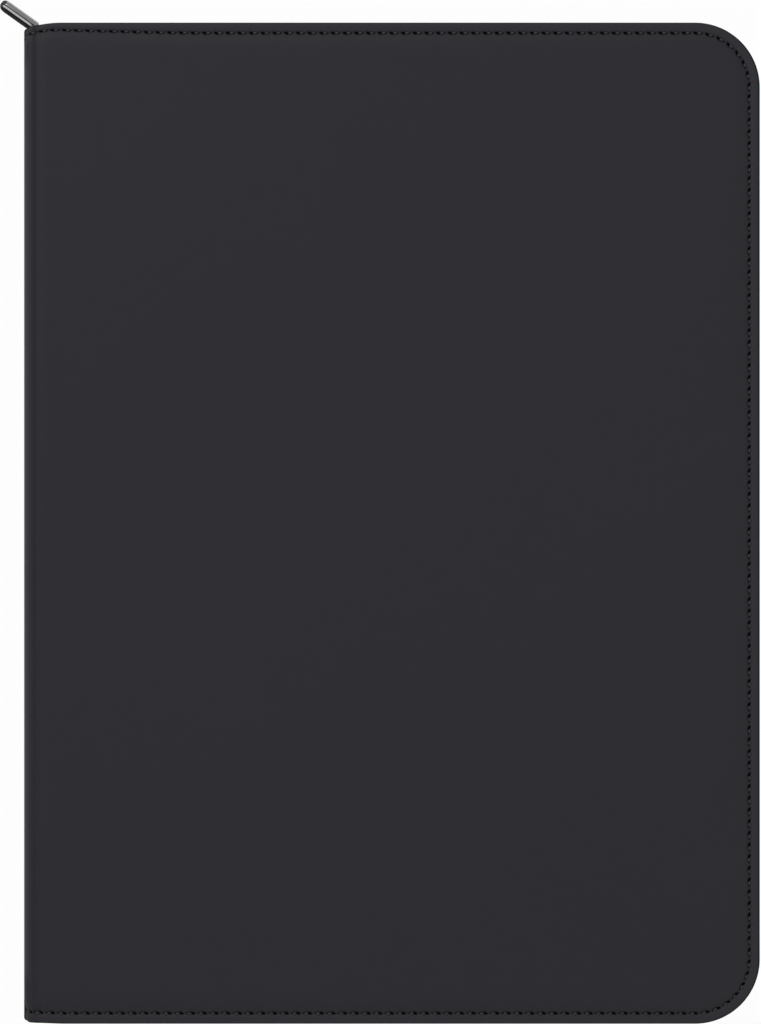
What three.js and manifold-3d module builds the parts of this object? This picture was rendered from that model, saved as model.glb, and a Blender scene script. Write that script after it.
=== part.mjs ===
// A4 zip-round portfolio organizer, shut: two padded covers joined by a spine, a moulded zip round
// the three open sides, pockets inside the front cover and a writing pad inside the back one.
// Millimetres. X runs from the spine to the opening edge, Y up the page and Z up through the shut
// case, which lies on its back cover. The origin is the centre of the back cover's outside face.
import * as THREE from "three";
import { mergeVertices } from "three/addons/utils/BufferGeometryUtils.js";
import Module from "manifold-3d";

// The writing pad, A4 with a bound top edge, and the room that the covers leave round it
const PAD_WIDTH = 210;
const PAD_LENGTH = 297;
const PAD_GUTTER = 26;
const PAD_EDGE_MARGIN = 14;
const PAD_TOP_MARGIN = 25;
const PAD_BOTTOM_MARGIN = 18;

// Outside of the shut case, which the pad's size decides
const COVER_WIDTH = PAD_GUTTER + PAD_WIDTH + PAD_EDGE_MARGIN;
const COVER_HEIGHT = PAD_BOTTOM_MARGIN + PAD_LENGTH + PAD_TOP_MARGIN;
const CASE_THICKNESS = 24;
const CORNER_RADIUS = 22;
const CORNER_STEPS = 10;

// Layers of a cover, from the outside in
const SKIN_THICKNESS = 0.8;
const FOAM_THICKNESS = 0.8;
const BOARD_THICKNESS = 1.2;
const LINING_THICKNESS = 0.4;

// Stitched rim: the foam stops short of it, so the skin steps down to it
const RIM_WIDTH = 4.6;
const RIM_SLOPE = 2.9;
const LAYER_CLEARANCE = 0.1;

// Spine side: fold strips, groove and spine wall
const FOLD_RADIUS = 3.5;
const FOLD_THICKNESS = 1.2;
const FOLD_STEPS = 8;
const HINGE_LAND = 3.5;
const GROOVE_DEPTH = 0.6;
const GROOVE_FLOOR = 1.1;
const GROOVE_LEAN = 0.7;
const SPINE_BOARD_THICKNESS = 1.4;
const SPINE_TOP_DIP = 1.8;
const SPINE_BOTTOM_DIP = 0.8;
const SPINE_CORE_SHORTFALL = 0.9;
const COVER_END_DIP = 0.7;
const COVER_END_TAPER = 9;

// Zip: tape, bead and teeth
const ZIP_INSET = 7;
const TAPE_THICKNESS = 0.6;
const TAPE_EDGE_INSET = 1.2;
const TAPE_END_CLEARANCE = 0.6;
const CHAIN_HALF_WIDTH = 3;
const BEAD_WIDTH = 1.4;
const BEAD_THICKNESS = 1.9;
const TOOTH_PITCH = 3.4;
const TOOTH_THICKNESS = 1.7;
const TOOTH_NECK = 0.9;
const TOOTH_HEAD = 1.45;
const TOOTH_OVERLAP = 0.9;
const STOP_LENGTH = 1.8;
const STOP_THICKNESS = 2.1;

// Slider, with its crown arch
const SLIDER_LENGTH = 10.6;
const SLIDER_PLATE = 1.15;
const SLIDER_BORE_CLEARANCE = 0.2;
const SLIDER_END_CLEARANCE = 0.4;
const SLIDER_FLANGE = 1;
const SLIDER_MOUTH_FLARE = 0.7;
const SLIDER_CORNER = 1.6;
const TAPE_SLOT = 1;
const WEDGE_LENGTH = 4.4;
const WEDGE_WIDTH = 2.2;
const ARCH_OPENING = 3.4;
const ARCH_HEADROOM = 2.9;
const ARCH_BAR = 1.2;
const ARCH_WIDTH = 2.2;
const ARCH_OFFSET = 1.4;

// Puller, a flat bar seen nearly on edge
const PULLER_REACH = 19.1;
const PULLER_WIDTH = 5;
const PULLER_THICKNESS = 2.8;
const PULLER_CHAMFER = 0.55;
const PULLER_TIP_RADIUS = 1.1;
const PULLER_TIP_STEPS = 12;
const PULLER_EYE_WIDTH = 3;
const PULLER_EYE_LENGTH = 3.3;
const PULLER_EYE_WALL = 0.25;
const PULLER_END_BAR = 1.2;
const PULLER_LIFT_DEG = 35.5;
const PULLER_TILT_DEG = 19;
const PULLER_PIVOT_LIFT = 1.6;

// Layers of the writing pad, and its pocket
const PAD_BACKING = 1.2;
const PAD_SHEETS = 5;
const PAD_BINDING_WIDTH = 12;
const PAD_BINDING_THICKNESS = 0.3;
const PAD_SAG_LENGTH = 10;
const PAD_CLEARANCE = 0.3;
const PAD_POCKET_THICKNESS = 0.5;
const PAD_POCKET_SEAM = 2;
const PAD_POCKET_SIDE_ROOM = 2;
const PAD_POCKET_DEPTH = 197;

// Pockets on the front cover's lining
const POCKET_THICKNESS = 0.5;
const POCKET_SEAM = 2;
const POCKET_CORNER = 9;
const POCKET_CORNER_STEPS = 3;
const DOCUMENT_POCKET_HEADROOM = 50.4;
const DOCUMENT_POCKET_GAP = 0.6;
const DOCUMENT_POCKET_MARGIN = 3;
const THUMB_NOTCH_WIDTH = 60;
const THUMB_NOTCH_DEPTH = 12;
const THUMB_NOTCH_STEPS = 8;
const PHONE_POCKET_LENGTH = 150;
const PHONE_POCKET_GAP = 2;
const CARD_WIDTH = 90;
const CARD_POCKET_DEPTH = 54;
const CARD_POCKET_STEP = 16;
const CARD_POCKET_COUNT = 4;
const CARD_POCKET_THICKNESS = 0.4;
const CARD_PANEL_MARGIN = 6;
const POCKET_SPACING = 7;

// Elastic pen loop
const PEN_LOOP_BORE = 10.4;
const PEN_LOOP_WALL = 0.9;
const PEN_LOOP_LENGTH = 24;
const PEN_LOOP_TAB = 14;
const PEN_LOOP_STEPS = 24;
const PEN_LOOP_MARGIN = 6.4;

// Places worked out from the sizes above
const LEFT = -COVER_WIDTH / 2;
const RIGHT = COVER_WIDTH / 2;
const TOP = COVER_HEIGHT / 2;
const MID_Z = CASE_THICKNESS / 2;
const FOAM_Z = SKIN_THICKNESS;
const BOARD_Z = FOAM_Z + FOAM_THICKNESS;
const LINING_Z = BOARD_Z + BOARD_THICKNESS;
const INSIDE_Z = LINING_Z + LINING_THICKNESS;
const FOLD_X = LEFT + FOLD_RADIUS;
const BOARD_LEFT = FOLD_X + HINGE_LAND;
const SPINE_BOARD_X = LEFT + SKIN_THICKNESS;
const SPINE_LINING_X = SPINE_BOARD_X + SPINE_BOARD_THICKNESS;
const SPINE_INSIDE_X = SPINE_LINING_X + LINING_THICKNESS;
const TAPE_LEFT = SPINE_INSIDE_X + TAPE_END_CLEARANCE;
const TAPE_Y = TOP - ZIP_INSET;
const TAPE_INNER_INSET = ZIP_INSET + TAPE_THICKNESS / 2;
const TAPE_OUTER_INSET = ZIP_INSET - TAPE_THICKNESS / 2;
const TAPE_FREE_EDGE_Z = MID_Z - CHAIN_HALF_WIDTH;
const BEAD_TOP_Z = TAPE_FREE_EDGE_Z + BEAD_WIDTH;
const SLIDER_LEFT = SPINE_INSIDE_X + SLIDER_END_CLEARANCE;
const SLIDER_X = SLIDER_LEFT + SLIDER_LENGTH / 2;
const SLIDER_BORE = BEAD_THICKNESS / 2 + SLIDER_BORE_CLEARANCE;
const SLIDER_FACE = SLIDER_BORE + SLIDER_PLATE;
const WEDGE_END_X = SLIDER_LEFT + WEDGE_LENGTH;

const wasm = await Module();
wasm.setup();

const vec = (x, y) => new THREE.Vector2(x, y);
const mid = (low, high) => (low + high) / 2;

const materials = {
  skin: new THREE.MeshStandardMaterial({ color: 0x323134, roughness: 0.62, metalness: 0 }),
  lining: new THREE.MeshStandardMaterial({ color: 0x1d1d1f, roughness: 0.9, metalness: 0 }),
  foam: new THREE.MeshStandardMaterial({ color: 0xd8d6cf, roughness: 1, metalness: 0 }),
  board: new THREE.MeshStandardMaterial({ color: 0x8f8878, roughness: 0.95, metalness: 0 }),
  tape: new THREE.MeshStandardMaterial({ color: 0x18181a, roughness: 0.95, metalness: 0 }),
  teeth: new THREE.MeshStandardMaterial({ color: 0x1b1b1d, roughness: 0.45, metalness: 0 }),
  metal: new THREE.MeshStandardMaterial({ color: 0x5b5959, roughness: 0.3, metalness: 1 }),
  elastic: new THREE.MeshStandardMaterial({ color: 0x141415, roughness: 0.9, metalness: 0 }),
  paper: new THREE.MeshStandardMaterial({ color: 0xf2f0ea, roughness: 0.9, metalness: 0 }),
  binding: new THREE.MeshStandardMaterial({ color: 0x26262a, roughness: 0.7, metalness: 0 }),
};

// Solids and meshes

function solidOf(geometry) {
  const loose = geometry.index ? geometry.toNonIndexed() : geometry;
  const bare = new THREE.BufferGeometry();
  bare.setAttribute("position", loose.getAttribute("position"));
  const merged = mergeVertices(bare, 1e-4);
  return new wasm.Manifold(
    new wasm.Mesh({
      numProp: 3,
      vertProperties: merged.attributes.position.array,
      triVerts: new Uint32Array(merged.index.array),
    }),
  );
}

function geometryOf(solid) {
  const mesh = solid.getMesh();
  const geometry = new THREE.BufferGeometry();
  geometry.setAttribute("position", new THREE.BufferAttribute(mesh.vertProperties, 3));
  geometry.setIndex(new THREE.BufferAttribute(mesh.triVerts, 1));
  return geometry;
}

function pieceMesh(name, shape, material) {
  const geometry = shape instanceof THREE.BufferGeometry ? shape : geometryOf(shape);
  const flat = geometry.index ? geometry.toNonIndexed() : geometry;
  flat.computeVertexNormals();
  const mesh = new THREE.Mesh(flat, material);
  mesh.name = name;
  return mesh;
}

// A plan outline raised from z low to z high.
function raised(outline, low, high) {
  const shape = outline instanceof THREE.Shape ? outline : new THREE.Shape(outline);
  const geometry = new THREE.ExtrudeGeometry(shape, { depth: high - low, bevelEnabled: false });
  return geometry.translate(0, 0, low);
}

// A profile drawn in X and Z, run along Y from low to high.
function alongY(profile, low, high) {
  const shape = profile instanceof THREE.Shape ? profile : new THREE.Shape(profile);
  const geometry = new THREE.ExtrudeGeometry(shape, { depth: high - low, bevelEnabled: false });
  return geometry.rotateX(Math.PI / 2).translate(0, high, 0);
}

// A profile drawn in Y and Z, run along X from low to high.
function alongX(profile, low, high) {
  const turn = new THREE.Matrix4().makeBasis(
    new THREE.Vector3(0, 1, 0),
    new THREE.Vector3(0, 0, 1),
    new THREE.Vector3(1, 0, 0),
  );
  const shape = new THREE.Shape(profile);
  const geometry = new THREE.ExtrudeGeometry(shape, { depth: high - low, bevelEnabled: false });
  return geometry.applyMatrix4(turn).translate(low, 0, 0);
}

// A closed solid between two outlines of equal point counts at two heights.
function loft(lowOutline, lowZ, highOutline, highZ) {
  const count = lowOutline.length;
  const positions = [];
  lowOutline.forEach((p) => positions.push(p.x, p.y, lowZ));
  highOutline.forEach((p) => positions.push(p.x, p.y, highZ));
  const index = [];
  for (let i = 0; i < count; i += 1) {
    const next = (i + 1) % count;
    index.push(i, next, count + next, i, count + next, count + i);
  }
  THREE.ShapeUtils.triangulateShape(lowOutline, []).forEach(([a, b, c]) => index.push(a, c, b));
  THREE.ShapeUtils.triangulateShape(highOutline, []).forEach(([a, b, c]) => {
    index.push(count + a, count + b, count + c);
  });
  const geometry = new THREE.BufferGeometry();
  geometry.setAttribute("position", new THREE.Float32BufferAttribute(positions, 3));
  geometry.setIndex(index);
  return geometry;
}

function box(x0, x1, y0, y1, z0, z1) {
  const geometry = new THREE.BoxGeometry(x1 - x0, y1 - y0, z1 - z0);
  return geometry.translate(mid(x0, x1), mid(y0, y1), mid(z0, z1));
}

// Outlines

function arc(cx, cy, radius, from, to, steps) {
  return Array.from({ length: steps + 1 }, (_, i) => {
    const angle = from + ((to - from) * i) / steps;
    return vec(cx + radius * Math.cos(angle), cy + radius * Math.sin(angle));
  });
}

// The three zipped sides, drawn in by inset, from the spine end at the bottom round to the top.
function zippedSides(inset, left) {
  const radius = CORNER_RADIUS - inset;
  const x = RIGHT - CORNER_RADIUS;
  const y = TOP - CORNER_RADIUS;
  return [
    vec(left, inset - TOP),
    ...arc(x, -y, radius, -Math.PI / 2, 0, CORNER_STEPS),
    ...arc(x, y, radius, 0, Math.PI / 2, CORNER_STEPS),
    vec(left, TOP - inset),
  ];
}

// A cover's outline: square at the spine, where the skin draws in a little.
function coverOutline(inset, left) {
  const points = zippedSides(inset, left + COVER_END_TAPER);
  return [
    vec(left, inset - TOP + COVER_END_DIP),
    ...points,
    vec(left, TOP - inset - COVER_END_DIP),
  ];
}

// A ribbon that follows the zipped sides between two insets.
function ribbonOutline(outerInset, innerInset, left) {
  return [...zippedSides(outerInset, left), ...zippedSides(innerInset, left).reverse()];
}

function roundedShape(corners, radius) {
  const shape = new THREE.Shape();
  corners.forEach((corner, i) => {
    const before = corners[(i + corners.length - 1) % corners.length];
    const after = corners[(i + 1) % corners.length];
    const room = Math.min(corner.distanceTo(before), corner.distanceTo(after)) / 2;
    const cut = Math.min(radius, room);
    const start = corner.clone().lerp(before, cut / corner.distanceTo(before));
    const end = corner.clone().lerp(after, cut / corner.distanceTo(after));
    if (i === 0) shape.moveTo(start.x, start.y);
    else shape.lineTo(start.x, start.y);
    shape.quadraticCurveTo(corner.x, corner.y, end.x, end.y);
  });
  shape.closePath();
  return new THREE.Shape(shape.getPoints(POCKET_CORNER_STEPS));
}

function rectangle(x0, x1, y0, y1) {
  return [vec(x0, y0), vec(x1, y0), vec(x1, y1), vec(x0, y1)];
}

// One cover. Its own z runs from its outside face inwards, so both covers share these functions.

function coverSkin(name) {
  const rimTop = RIM_WIDTH + RIM_SLOPE;
  const wall = solidOf(raised(coverOutline(0, FOLD_X), FOAM_THICKNESS, LINING_Z));
  const panel = solidOf(
    loft(coverOutline(rimTop, FOLD_X), 0, coverOutline(RIM_WIDTH, FOLD_X), FOAM_THICKNESS),
  );
  const boardSeat = solidOf(
    raised(zippedSides(SKIN_THICKNESS, BOARD_LEFT), BOARD_Z, LINING_Z + 1),
  );
  const foamSeat = solidOf(foamGeometry(0));
  const grooveLeft = FOLD_X + GROOVE_LEAN;
  const grooveRight = grooveLeft + GROOVE_FLOOR;
  const groove = solidOf(
    alongY(
      [
        vec(FOLD_X, -1),
        vec(grooveRight + GROOVE_LEAN * 2, -1),
        vec(grooveRight + GROOVE_LEAN * 2, 0),
        vec(grooveRight, GROOVE_DEPTH),
        vec(grooveLeft, GROOVE_DEPTH),
        vec(FOLD_X, 0),
      ],
      -TOP - 1,
      TOP + 1,
    ),
  );
  const skin = wall.add(panel).subtract(boardSeat).subtract(foamSeat).subtract(groove);
  return pieceMesh(name, skin, materials.skin);
}

// The foam's sloped edge lies under the skin's step down to the stitched rim.
function foamGeometry(clearance) {
  const left = BOARD_LEFT + clearance;
  return loft(
    zippedSides(RIM_WIDTH + RIM_SLOPE + clearance, left),
    FOAM_Z,
    zippedSides(RIM_WIDTH + clearance, left),
    BOARD_Z,
  );
}

function coverBoard(name) {
  const outline = zippedSides(SKIN_THICKNESS + LAYER_CLEARANCE, BOARD_LEFT + LAYER_CLEARANCE);
  return pieceMesh(name, raised(outline, BOARD_Z, LINING_Z), materials.board);
}

function coverLining(name) {
  const outline = zippedSides(TAPE_INNER_INSET + LAYER_CLEARANCE, FOLD_X);
  return pieceMesh(name, raised(outline, LINING_Z, INSIDE_Z), materials.lining);
}

// The tape is sewn under the rim and turns in to stand across the gap between the covers.
function zipTape(name) {
  const sewnLeg = solidOf(
    raised(
      ribbonOutline(TAPE_EDGE_INSET, TAPE_INNER_INSET, TAPE_LEFT),
      LINING_Z,
      LINING_Z + TAPE_THICKNESS,
    ),
  );
  const standingLeg = solidOf(
    raised(
      ribbonOutline(TAPE_OUTER_INSET, TAPE_INNER_INSET, TAPE_LEFT),
      LINING_Z,
      TAPE_FREE_EDGE_Z,
    ),
  );
  return pieceMesh(name, sewnLeg.add(standingLeg), materials.tape);
}

// Places at even steps along the zip, as a point and a direction, from one end stop to the other.
function placesAlongZip(start, pitch) {
  const radius = CORNER_RADIUS - ZIP_INSET;
  const run = RIGHT - CORNER_RADIUS - start;
  const side = 2 * (TOP - CORNER_RADIUS);
  const bend = (radius * Math.PI) / 2;
  const total = 2 * run + 2 * bend + side;
  const places = [];
  for (let s = 0; s <= total; s += pitch) {
    places.push(placeAlongZip(s, start, run, bend, side, radius));
  }
  return places;
}

function placeAlongZip(s, start, run, bend, side, radius) {
  const x = RIGHT - CORNER_RADIUS;
  const y = TOP - CORNER_RADIUS;
  if (s < run) return { x: start + s, y: y + radius, angle: 0 };
  if (s < run + bend) {
    const turn = (s - run) / radius;
    return { x: x + radius * Math.sin(turn), y: y + radius * Math.cos(turn), angle: -turn };
  }
  if (s < run + bend + side) {
    return { x: x + radius, y: y - (s - run - bend), angle: -Math.PI / 2 };
  }
  if (s < run + 2 * bend + side) {
    const turn = Math.PI / 2 + (s - run - bend - side) / radius;
    return { x: x + radius * Math.sin(turn), y: -y + radius * Math.cos(turn), angle: -turn };
  }
  return { x: x - (s - run - 2 * bend - side), y: -y - radius, angle: -Math.PI };
}

// A row of teeth on its bead. Each tooth widens to its head, so two rows lock together.
function zipTeeth(name, phase) {
  const bead = solidOf(
    raised(
      ribbonOutline(
        ZIP_INSET - BEAD_THICKNESS / 2,
        ZIP_INSET + BEAD_THICKNESS / 2,
        TAPE_LEFT + STOP_LENGTH / 2,
      ),
      TAPE_FREE_EDGE_Z,
      BEAD_TOP_Z,
    ),
  );
  const headZ = MID_Z + TOOTH_OVERLAP;
  const half = TOOTH_THICKNESS / 2;
  const rootZ = mid(TAPE_FREE_EDGE_Z, BEAD_TOP_Z);
  const rise = (TOOTH_HEAD - TOOTH_NECK) / (headZ - BEAD_TOP_Z);
  const rootWidth = TOOTH_NECK - rise * (BEAD_TOP_Z - rootZ);
  const toothProfile = [
    vec(-rootWidth / 2, rootZ),
    vec(rootWidth / 2, rootZ),
    vec(TOOTH_HEAD / 2, headZ),
    vec(-TOOTH_HEAD / 2, headZ),
  ];
  const firstTooth = WEDGE_END_X + TOOTH_PITCH / 2 + phase * TOOTH_PITCH;
  const teeth = placesAlongZip(firstTooth, TOOTH_PITCH).map(({ x, y, angle }) =>
    solidOf(alongY(toothProfile, -half, half).rotateZ(angle).translate(x, y, 0)),
  );
  const stops = [TAPE_Y, -TAPE_Y].map((y) =>
    solidOf(
      box(
        TAPE_LEFT + LAYER_CLEARANCE,
        TAPE_LEFT + LAYER_CLEARANCE + STOP_LENGTH,
        y - STOP_THICKNESS / 2,
        y + STOP_THICKNESS / 2,
        TAPE_FREE_EDGE_Z,
        BEAD_TOP_Z,
      ),
    ),
  );
  return pieceMesh(name, wasm.Manifold.union([bead, ...teeth, ...stops]), materials.teeth);
}

// The flexible strip that turns a quarter round from the cover to the spine.
function foldStrip(name) {
  const inner = FOLD_RADIUS - FOLD_THICKNESS;
  const profile = [
    ...arc(FOLD_X, FOLD_RADIUS, FOLD_RADIUS, Math.PI, (3 * Math.PI) / 2, FOLD_STEPS),
    ...arc(FOLD_X, FOLD_RADIUS, inner, (3 * Math.PI) / 2, Math.PI, FOLD_STEPS),
  ];
  return pieceMesh(
    name,
    alongY(profile, SPINE_BOTTOM_DIP - TOP, TOP - SPINE_TOP_DIP),
    materials.skin,
  );
}

function coverHalf(side, phase) {
  const half = new THREE.Group();
  half.add(coverSkin(`${side}_cover_skin`));
  half.add(pieceMesh(`${side}_foam`, foamGeometry(LAYER_CLEARANCE), materials.foam));
  half.add(coverBoard(`${side}_board`));
  half.add(coverLining(`${side}_lining`));
  half.add(zipTape(`zip_tape_${side}`));
  half.add(zipTeeth(`zip_teeth_${side}`, phase));
  half.add(foldStrip(`spine_fold_${side}`));
  return half;
}

// Spine

function spine() {
  const group = new THREE.Group();
  const low = FOLD_RADIUS;
  const high = CASE_THICKNESS - FOLD_RADIUS;
  const bottom = SPINE_BOTTOM_DIP - TOP;
  const top = TOP - SPINE_TOP_DIP;
  const coreBottom = bottom + SPINE_CORE_SHORTFALL;
  const coreTop = top - SPINE_CORE_SHORTFALL;
  const skin = box(LEFT, SPINE_BOARD_X, bottom, top, low, high);
  const board = box(SPINE_BOARD_X, SPINE_LINING_X, coreBottom, coreTop, low, high);
  const lining = box(SPINE_LINING_X, SPINE_INSIDE_X, coreBottom, coreTop, low, high);
  group.add(pieceMesh("spine_skin", skin, materials.skin));
  group.add(pieceMesh("spine_board", board, materials.board));
  group.add(pieceMesh("spine_lining", lining, materials.lining));
  return group;
}

// Slider and puller. The slider's own frame has x along the chain, y out of the case and z across it.

function sliderPlan(margin) {
  const half = SLIDER_LENGTH / 2;
  const tail = CHAIN_HALF_WIDTH + SLIDER_BORE_CLEARANCE + SLIDER_FLANGE - margin;
  const mouth = tail + SLIDER_MOUTH_FLARE;
  return [vec(-half, -mouth), vec(half, -tail), vec(half, tail), vec(-half, mouth)];
}

function sliderSolid() {
  const plan = roundedShape(sliderPlan(0), SLIDER_CORNER);
  const body = solidOf(alongY(plan, -SLIDER_FACE, SLIDER_FACE));
  const bore = solidOf(
    alongY(
      sliderPlan(SLIDER_FLANGE).map((p) => vec(p.x * 2, p.y)),
      -SLIDER_BORE,
      SLIDER_BORE,
    ),
  );
  const slotReach = CHAIN_HALF_WIDTH * 2;
  const slot = solidOf(
    box(-SLIDER_LENGTH, SLIDER_LENGTH, -TAPE_SLOT / 2, TAPE_SLOT / 2, -slotReach, slotReach),
  );
  const start = -SLIDER_LENGTH / 2;
  const wedgePlan = [
    vec(start, -WEDGE_WIDTH / 2),
    vec(start + WEDGE_LENGTH / 3, -WEDGE_WIDTH / 2),
    vec(start + WEDGE_LENGTH, 0),
    vec(start + WEDGE_LENGTH / 3, WEDGE_WIDTH / 2),
    vec(start, WEDGE_WIDTH / 2),
  ];
  const wedge = solidOf(alongY(wedgePlan, -SLIDER_FACE, SLIDER_FACE));
  return body.subtract(bore).subtract(slot).add(wedge).add(archSolid());
}

// The crown arch holds the puller's end bar over the slider's outer plate.
function archSolid() {
  const inner = ARCH_OPENING / 2;
  const outer = inner + ARCH_BAR;
  const foot = SLIDER_FACE - SLIDER_PLATE / 2;
  const under = SLIDER_FACE + ARCH_HEADROOM;
  const over = under + ARCH_BAR;
  const arch = new THREE.Shape([
    vec(-outer, foot),
    vec(-inner, foot),
    vec(-inner, under - ARCH_BAR / 2),
    vec(-inner + ARCH_BAR / 2, under),
    vec(inner - ARCH_BAR / 2, under),
    vec(inner, under - ARCH_BAR / 2),
    vec(inner, foot),
    vec(outer, foot),
    vec(outer, under),
    vec(outer - ARCH_BAR, over),
    vec(-outer + ARCH_BAR, over),
    vec(-outer, under),
  ]);
  return solidOf(raised(arch, -ARCH_WIDTH / 2, ARCH_WIDTH / 2).translate(-ARCH_OFFSET, 0, 0));
}

// The puller's own frame has x along the bar from its end bar, y through it and z across it.
function pullerSolid() {
  const half = PULLER_WIDTH / 2;
  const barHalf = PULLER_END_BAR / 2;
  const eyeEnd = barHalf + PULLER_EYE_LENGTH;
  const bodyStart = eyeEnd + PULLER_EYE_WALL;
  const neckPlan = roundedShape(rectangle(-barHalf, bodyStart + barHalf, -half, half), barHalf * 2);
  const neck = solidOf(alongY(neckPlan, -barHalf, barHalf));
  const eyePlan = roundedShape(
    rectangle(barHalf, eyeEnd, -PULLER_EYE_WIDTH / 2, PULLER_EYE_WIDTH / 2),
    barHalf,
  );
  const eye = solidOf(alongY(eyePlan, -PULLER_THICKNESS, PULLER_THICKNESS));
  return neck.subtract(eye).add(pullerBar(bodyStart, half));
}

// The bar has chamfered edges and a tip that is round both ways.
function pullerBar(start, half) {
  const inset = PULLER_CHAMFER;
  const across = half - inset;
  const through = PULLER_THICKNESS / 2;
  const radius = PULLER_TIP_RADIUS;
  const quarter = Math.PI / 2;
  const plan = new THREE.Shape([
    vec(start + inset, -across),
    ...arc(PULLER_REACH - half, 0, across, -quarter, quarter, PULLER_TIP_STEPS),
    vec(start + inset, across),
  ]);
  const bar = new THREE.ExtrudeGeometry(plan, {
    depth: PULLER_THICKNESS - 2 * inset,
    bevelThickness: inset,
    bevelSize: inset,
    bevelSegments: 1,
  });
  bar.translate(0, 0, inset - through).rotateX(quarter);
  const side = new THREE.Shape([
    vec(0, -through),
    ...arc(PULLER_REACH - radius, radius - through, radius, -quarter, 0, PULLER_TIP_STEPS / 2),
    ...arc(PULLER_REACH - radius, through - radius, radius, 0, quarter, PULLER_TIP_STEPS / 2),
    vec(0, through),
  ]);
  return solidOf(bar).intersect(solidOf(raised(side, -half, half)));
}

function sliderGroup() {
  const group = new THREE.Group();
  group.position.set(SLIDER_X, TAPE_Y, MID_Z);
  group.add(pieceMesh("zip_slider", sliderSolid(), materials.metal));
  const arm = new THREE.Group();
  arm.position.set(-ARCH_OFFSET, SLIDER_FACE + PULLER_PIVOT_LIFT, 0);
  arm.rotation.z = THREE.MathUtils.degToRad(180 - PULLER_LIFT_DEG);
  const puller = pieceMesh("zip_puller", pullerSolid(), materials.metal);
  puller.rotation.x = THREE.MathUtils.degToRad(PULLER_TILT_DEG);
  arm.add(puller);
  group.add(arm);
  return group;
}

// Writing pad and its pocket, on the back cover

const PAD_LEFT = LEFT + PAD_GUTTER;
const PAD_RIGHT = PAD_LEFT + PAD_WIDTH;
const PAD_BOTTOM = PAD_BOTTOM_MARGIN - TOP;
const PAD_TOP = PAD_BOTTOM + PAD_LENGTH;
const BACKING_Z = INSIDE_Z + PAD_CLEARANCE + PAD_BINDING_THICKNESS;
const BACKING_TOP_Z = BACKING_Z + PAD_BACKING;
const PAD_POCKET_Z = BACKING_TOP_Z + PAD_CLEARANCE;
const PAD_POCKET_TOP_Z = PAD_POCKET_Z + PAD_POCKET_THICKNESS;
const PAD_POCKET_MOUTH = PAD_BOTTOM + PAD_POCKET_DEPTH;

function padPocket() {
  const left = PAD_LEFT - PAD_POCKET_SIDE_ROOM;
  const right = PAD_RIGHT + PAD_POCKET_SIDE_ROOM;
  const bottom = PAD_BOTTOM - PAD_CLEARANCE;
  const seam = PAD_POCKET_SEAM;
  const panel = solidOf(
    box(left - seam, right + seam, bottom - seam, PAD_POCKET_MOUTH, INSIDE_Z, PAD_POCKET_TOP_Z),
  );
  const room = solidOf(
    box(left, right, bottom, PAD_POCKET_MOUTH + 1, INSIDE_Z - 1, PAD_POCKET_Z),
  );
  return pieceMesh("pad_pocket", panel.subtract(room), materials.lining);
}

// The sheets lie on the pocket and sag to the backing past its mouth.
function padSheets() {
  const laid = PAD_POCKET_TOP_Z + PAD_CLEARANCE;
  const sagStart = PAD_POCKET_MOUTH + PAD_CLEARANCE;
  const sagEnd = sagStart + PAD_SAG_LENGTH;
  const profile = [
    vec(PAD_BOTTOM, laid),
    vec(sagStart, laid),
    vec(sagEnd, BACKING_TOP_Z),
    vec(PAD_TOP, BACKING_TOP_Z),
    vec(PAD_TOP, BACKING_TOP_Z + PAD_SHEETS),
    vec(sagEnd, BACKING_TOP_Z + PAD_SHEETS),
    vec(sagStart, laid + PAD_SHEETS),
    vec(PAD_BOTTOM, laid + PAD_SHEETS),
  ];
  return pieceMesh("notepad_sheets", alongX(profile, PAD_LEFT, PAD_RIGHT), materials.paper);
}

function padBinding() {
  const wrap = PAD_BINDING_THICKNESS;
  const low = BACKING_Z;
  const high = BACKING_TOP_Z + PAD_SHEETS;
  const profile = [
    vec(PAD_TOP - PAD_BINDING_WIDTH, low - wrap),
    vec(PAD_TOP + wrap, low - wrap),
    vec(PAD_TOP + wrap, high + wrap),
    vec(PAD_TOP - PAD_BINDING_WIDTH, high + wrap),
    vec(PAD_TOP - PAD_BINDING_WIDTH, high),
    vec(PAD_TOP, high),
    vec(PAD_TOP, low),
    vec(PAD_TOP - PAD_BINDING_WIDTH, low),
  ];
  return pieceMesh("notepad_binding", alongX(profile, PAD_LEFT, PAD_RIGHT), materials.binding);
}

function writingPad() {
  const group = new THREE.Group();
  const backing = box(PAD_LEFT, PAD_RIGHT, PAD_BOTTOM, PAD_TOP, BACKING_Z, BACKING_TOP_Z);
  group.add(pieceMesh("notepad_backing", backing, materials.board));
  group.add(padSheets());
  group.add(padBinding());
  return group;
}

// Pockets and pen loop on the front cover, in that cover's own z, which runs inwards

const PEN_LOOP_RADIUS = PEN_LOOP_BORE / 2 + PEN_LOOP_WALL;
const PEN_LOOP_X = FOLD_X + PEN_LOOP_MARGIN + PEN_LOOP_RADIUS;
const POCKET_LEFT = PEN_LOOP_X + PEN_LOOP_TAB / 2 + DOCUMENT_POCKET_MARGIN / 2;
const POCKET_RIGHT = RIGHT - TAPE_INNER_INSET - DOCUMENT_POCKET_MARGIN;
const POCKET_BOTTOM = TAPE_INNER_INSET - TOP + DOCUMENT_POCKET_MARGIN;
const POCKET_TOP = TOP - TAPE_INNER_INSET - DOCUMENT_POCKET_HEADROOM;
const DOCUMENT_Z = INSIDE_Z + DOCUMENT_POCKET_GAP + POCKET_THICKNESS;
const CARD_PANEL_RIGHT = POCKET_RIGHT - POCKET_SPACING;
const CARD_PANEL_LEFT = CARD_PANEL_RIGHT - CARD_WIDTH - 2 * CARD_PANEL_MARGIN;

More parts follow.
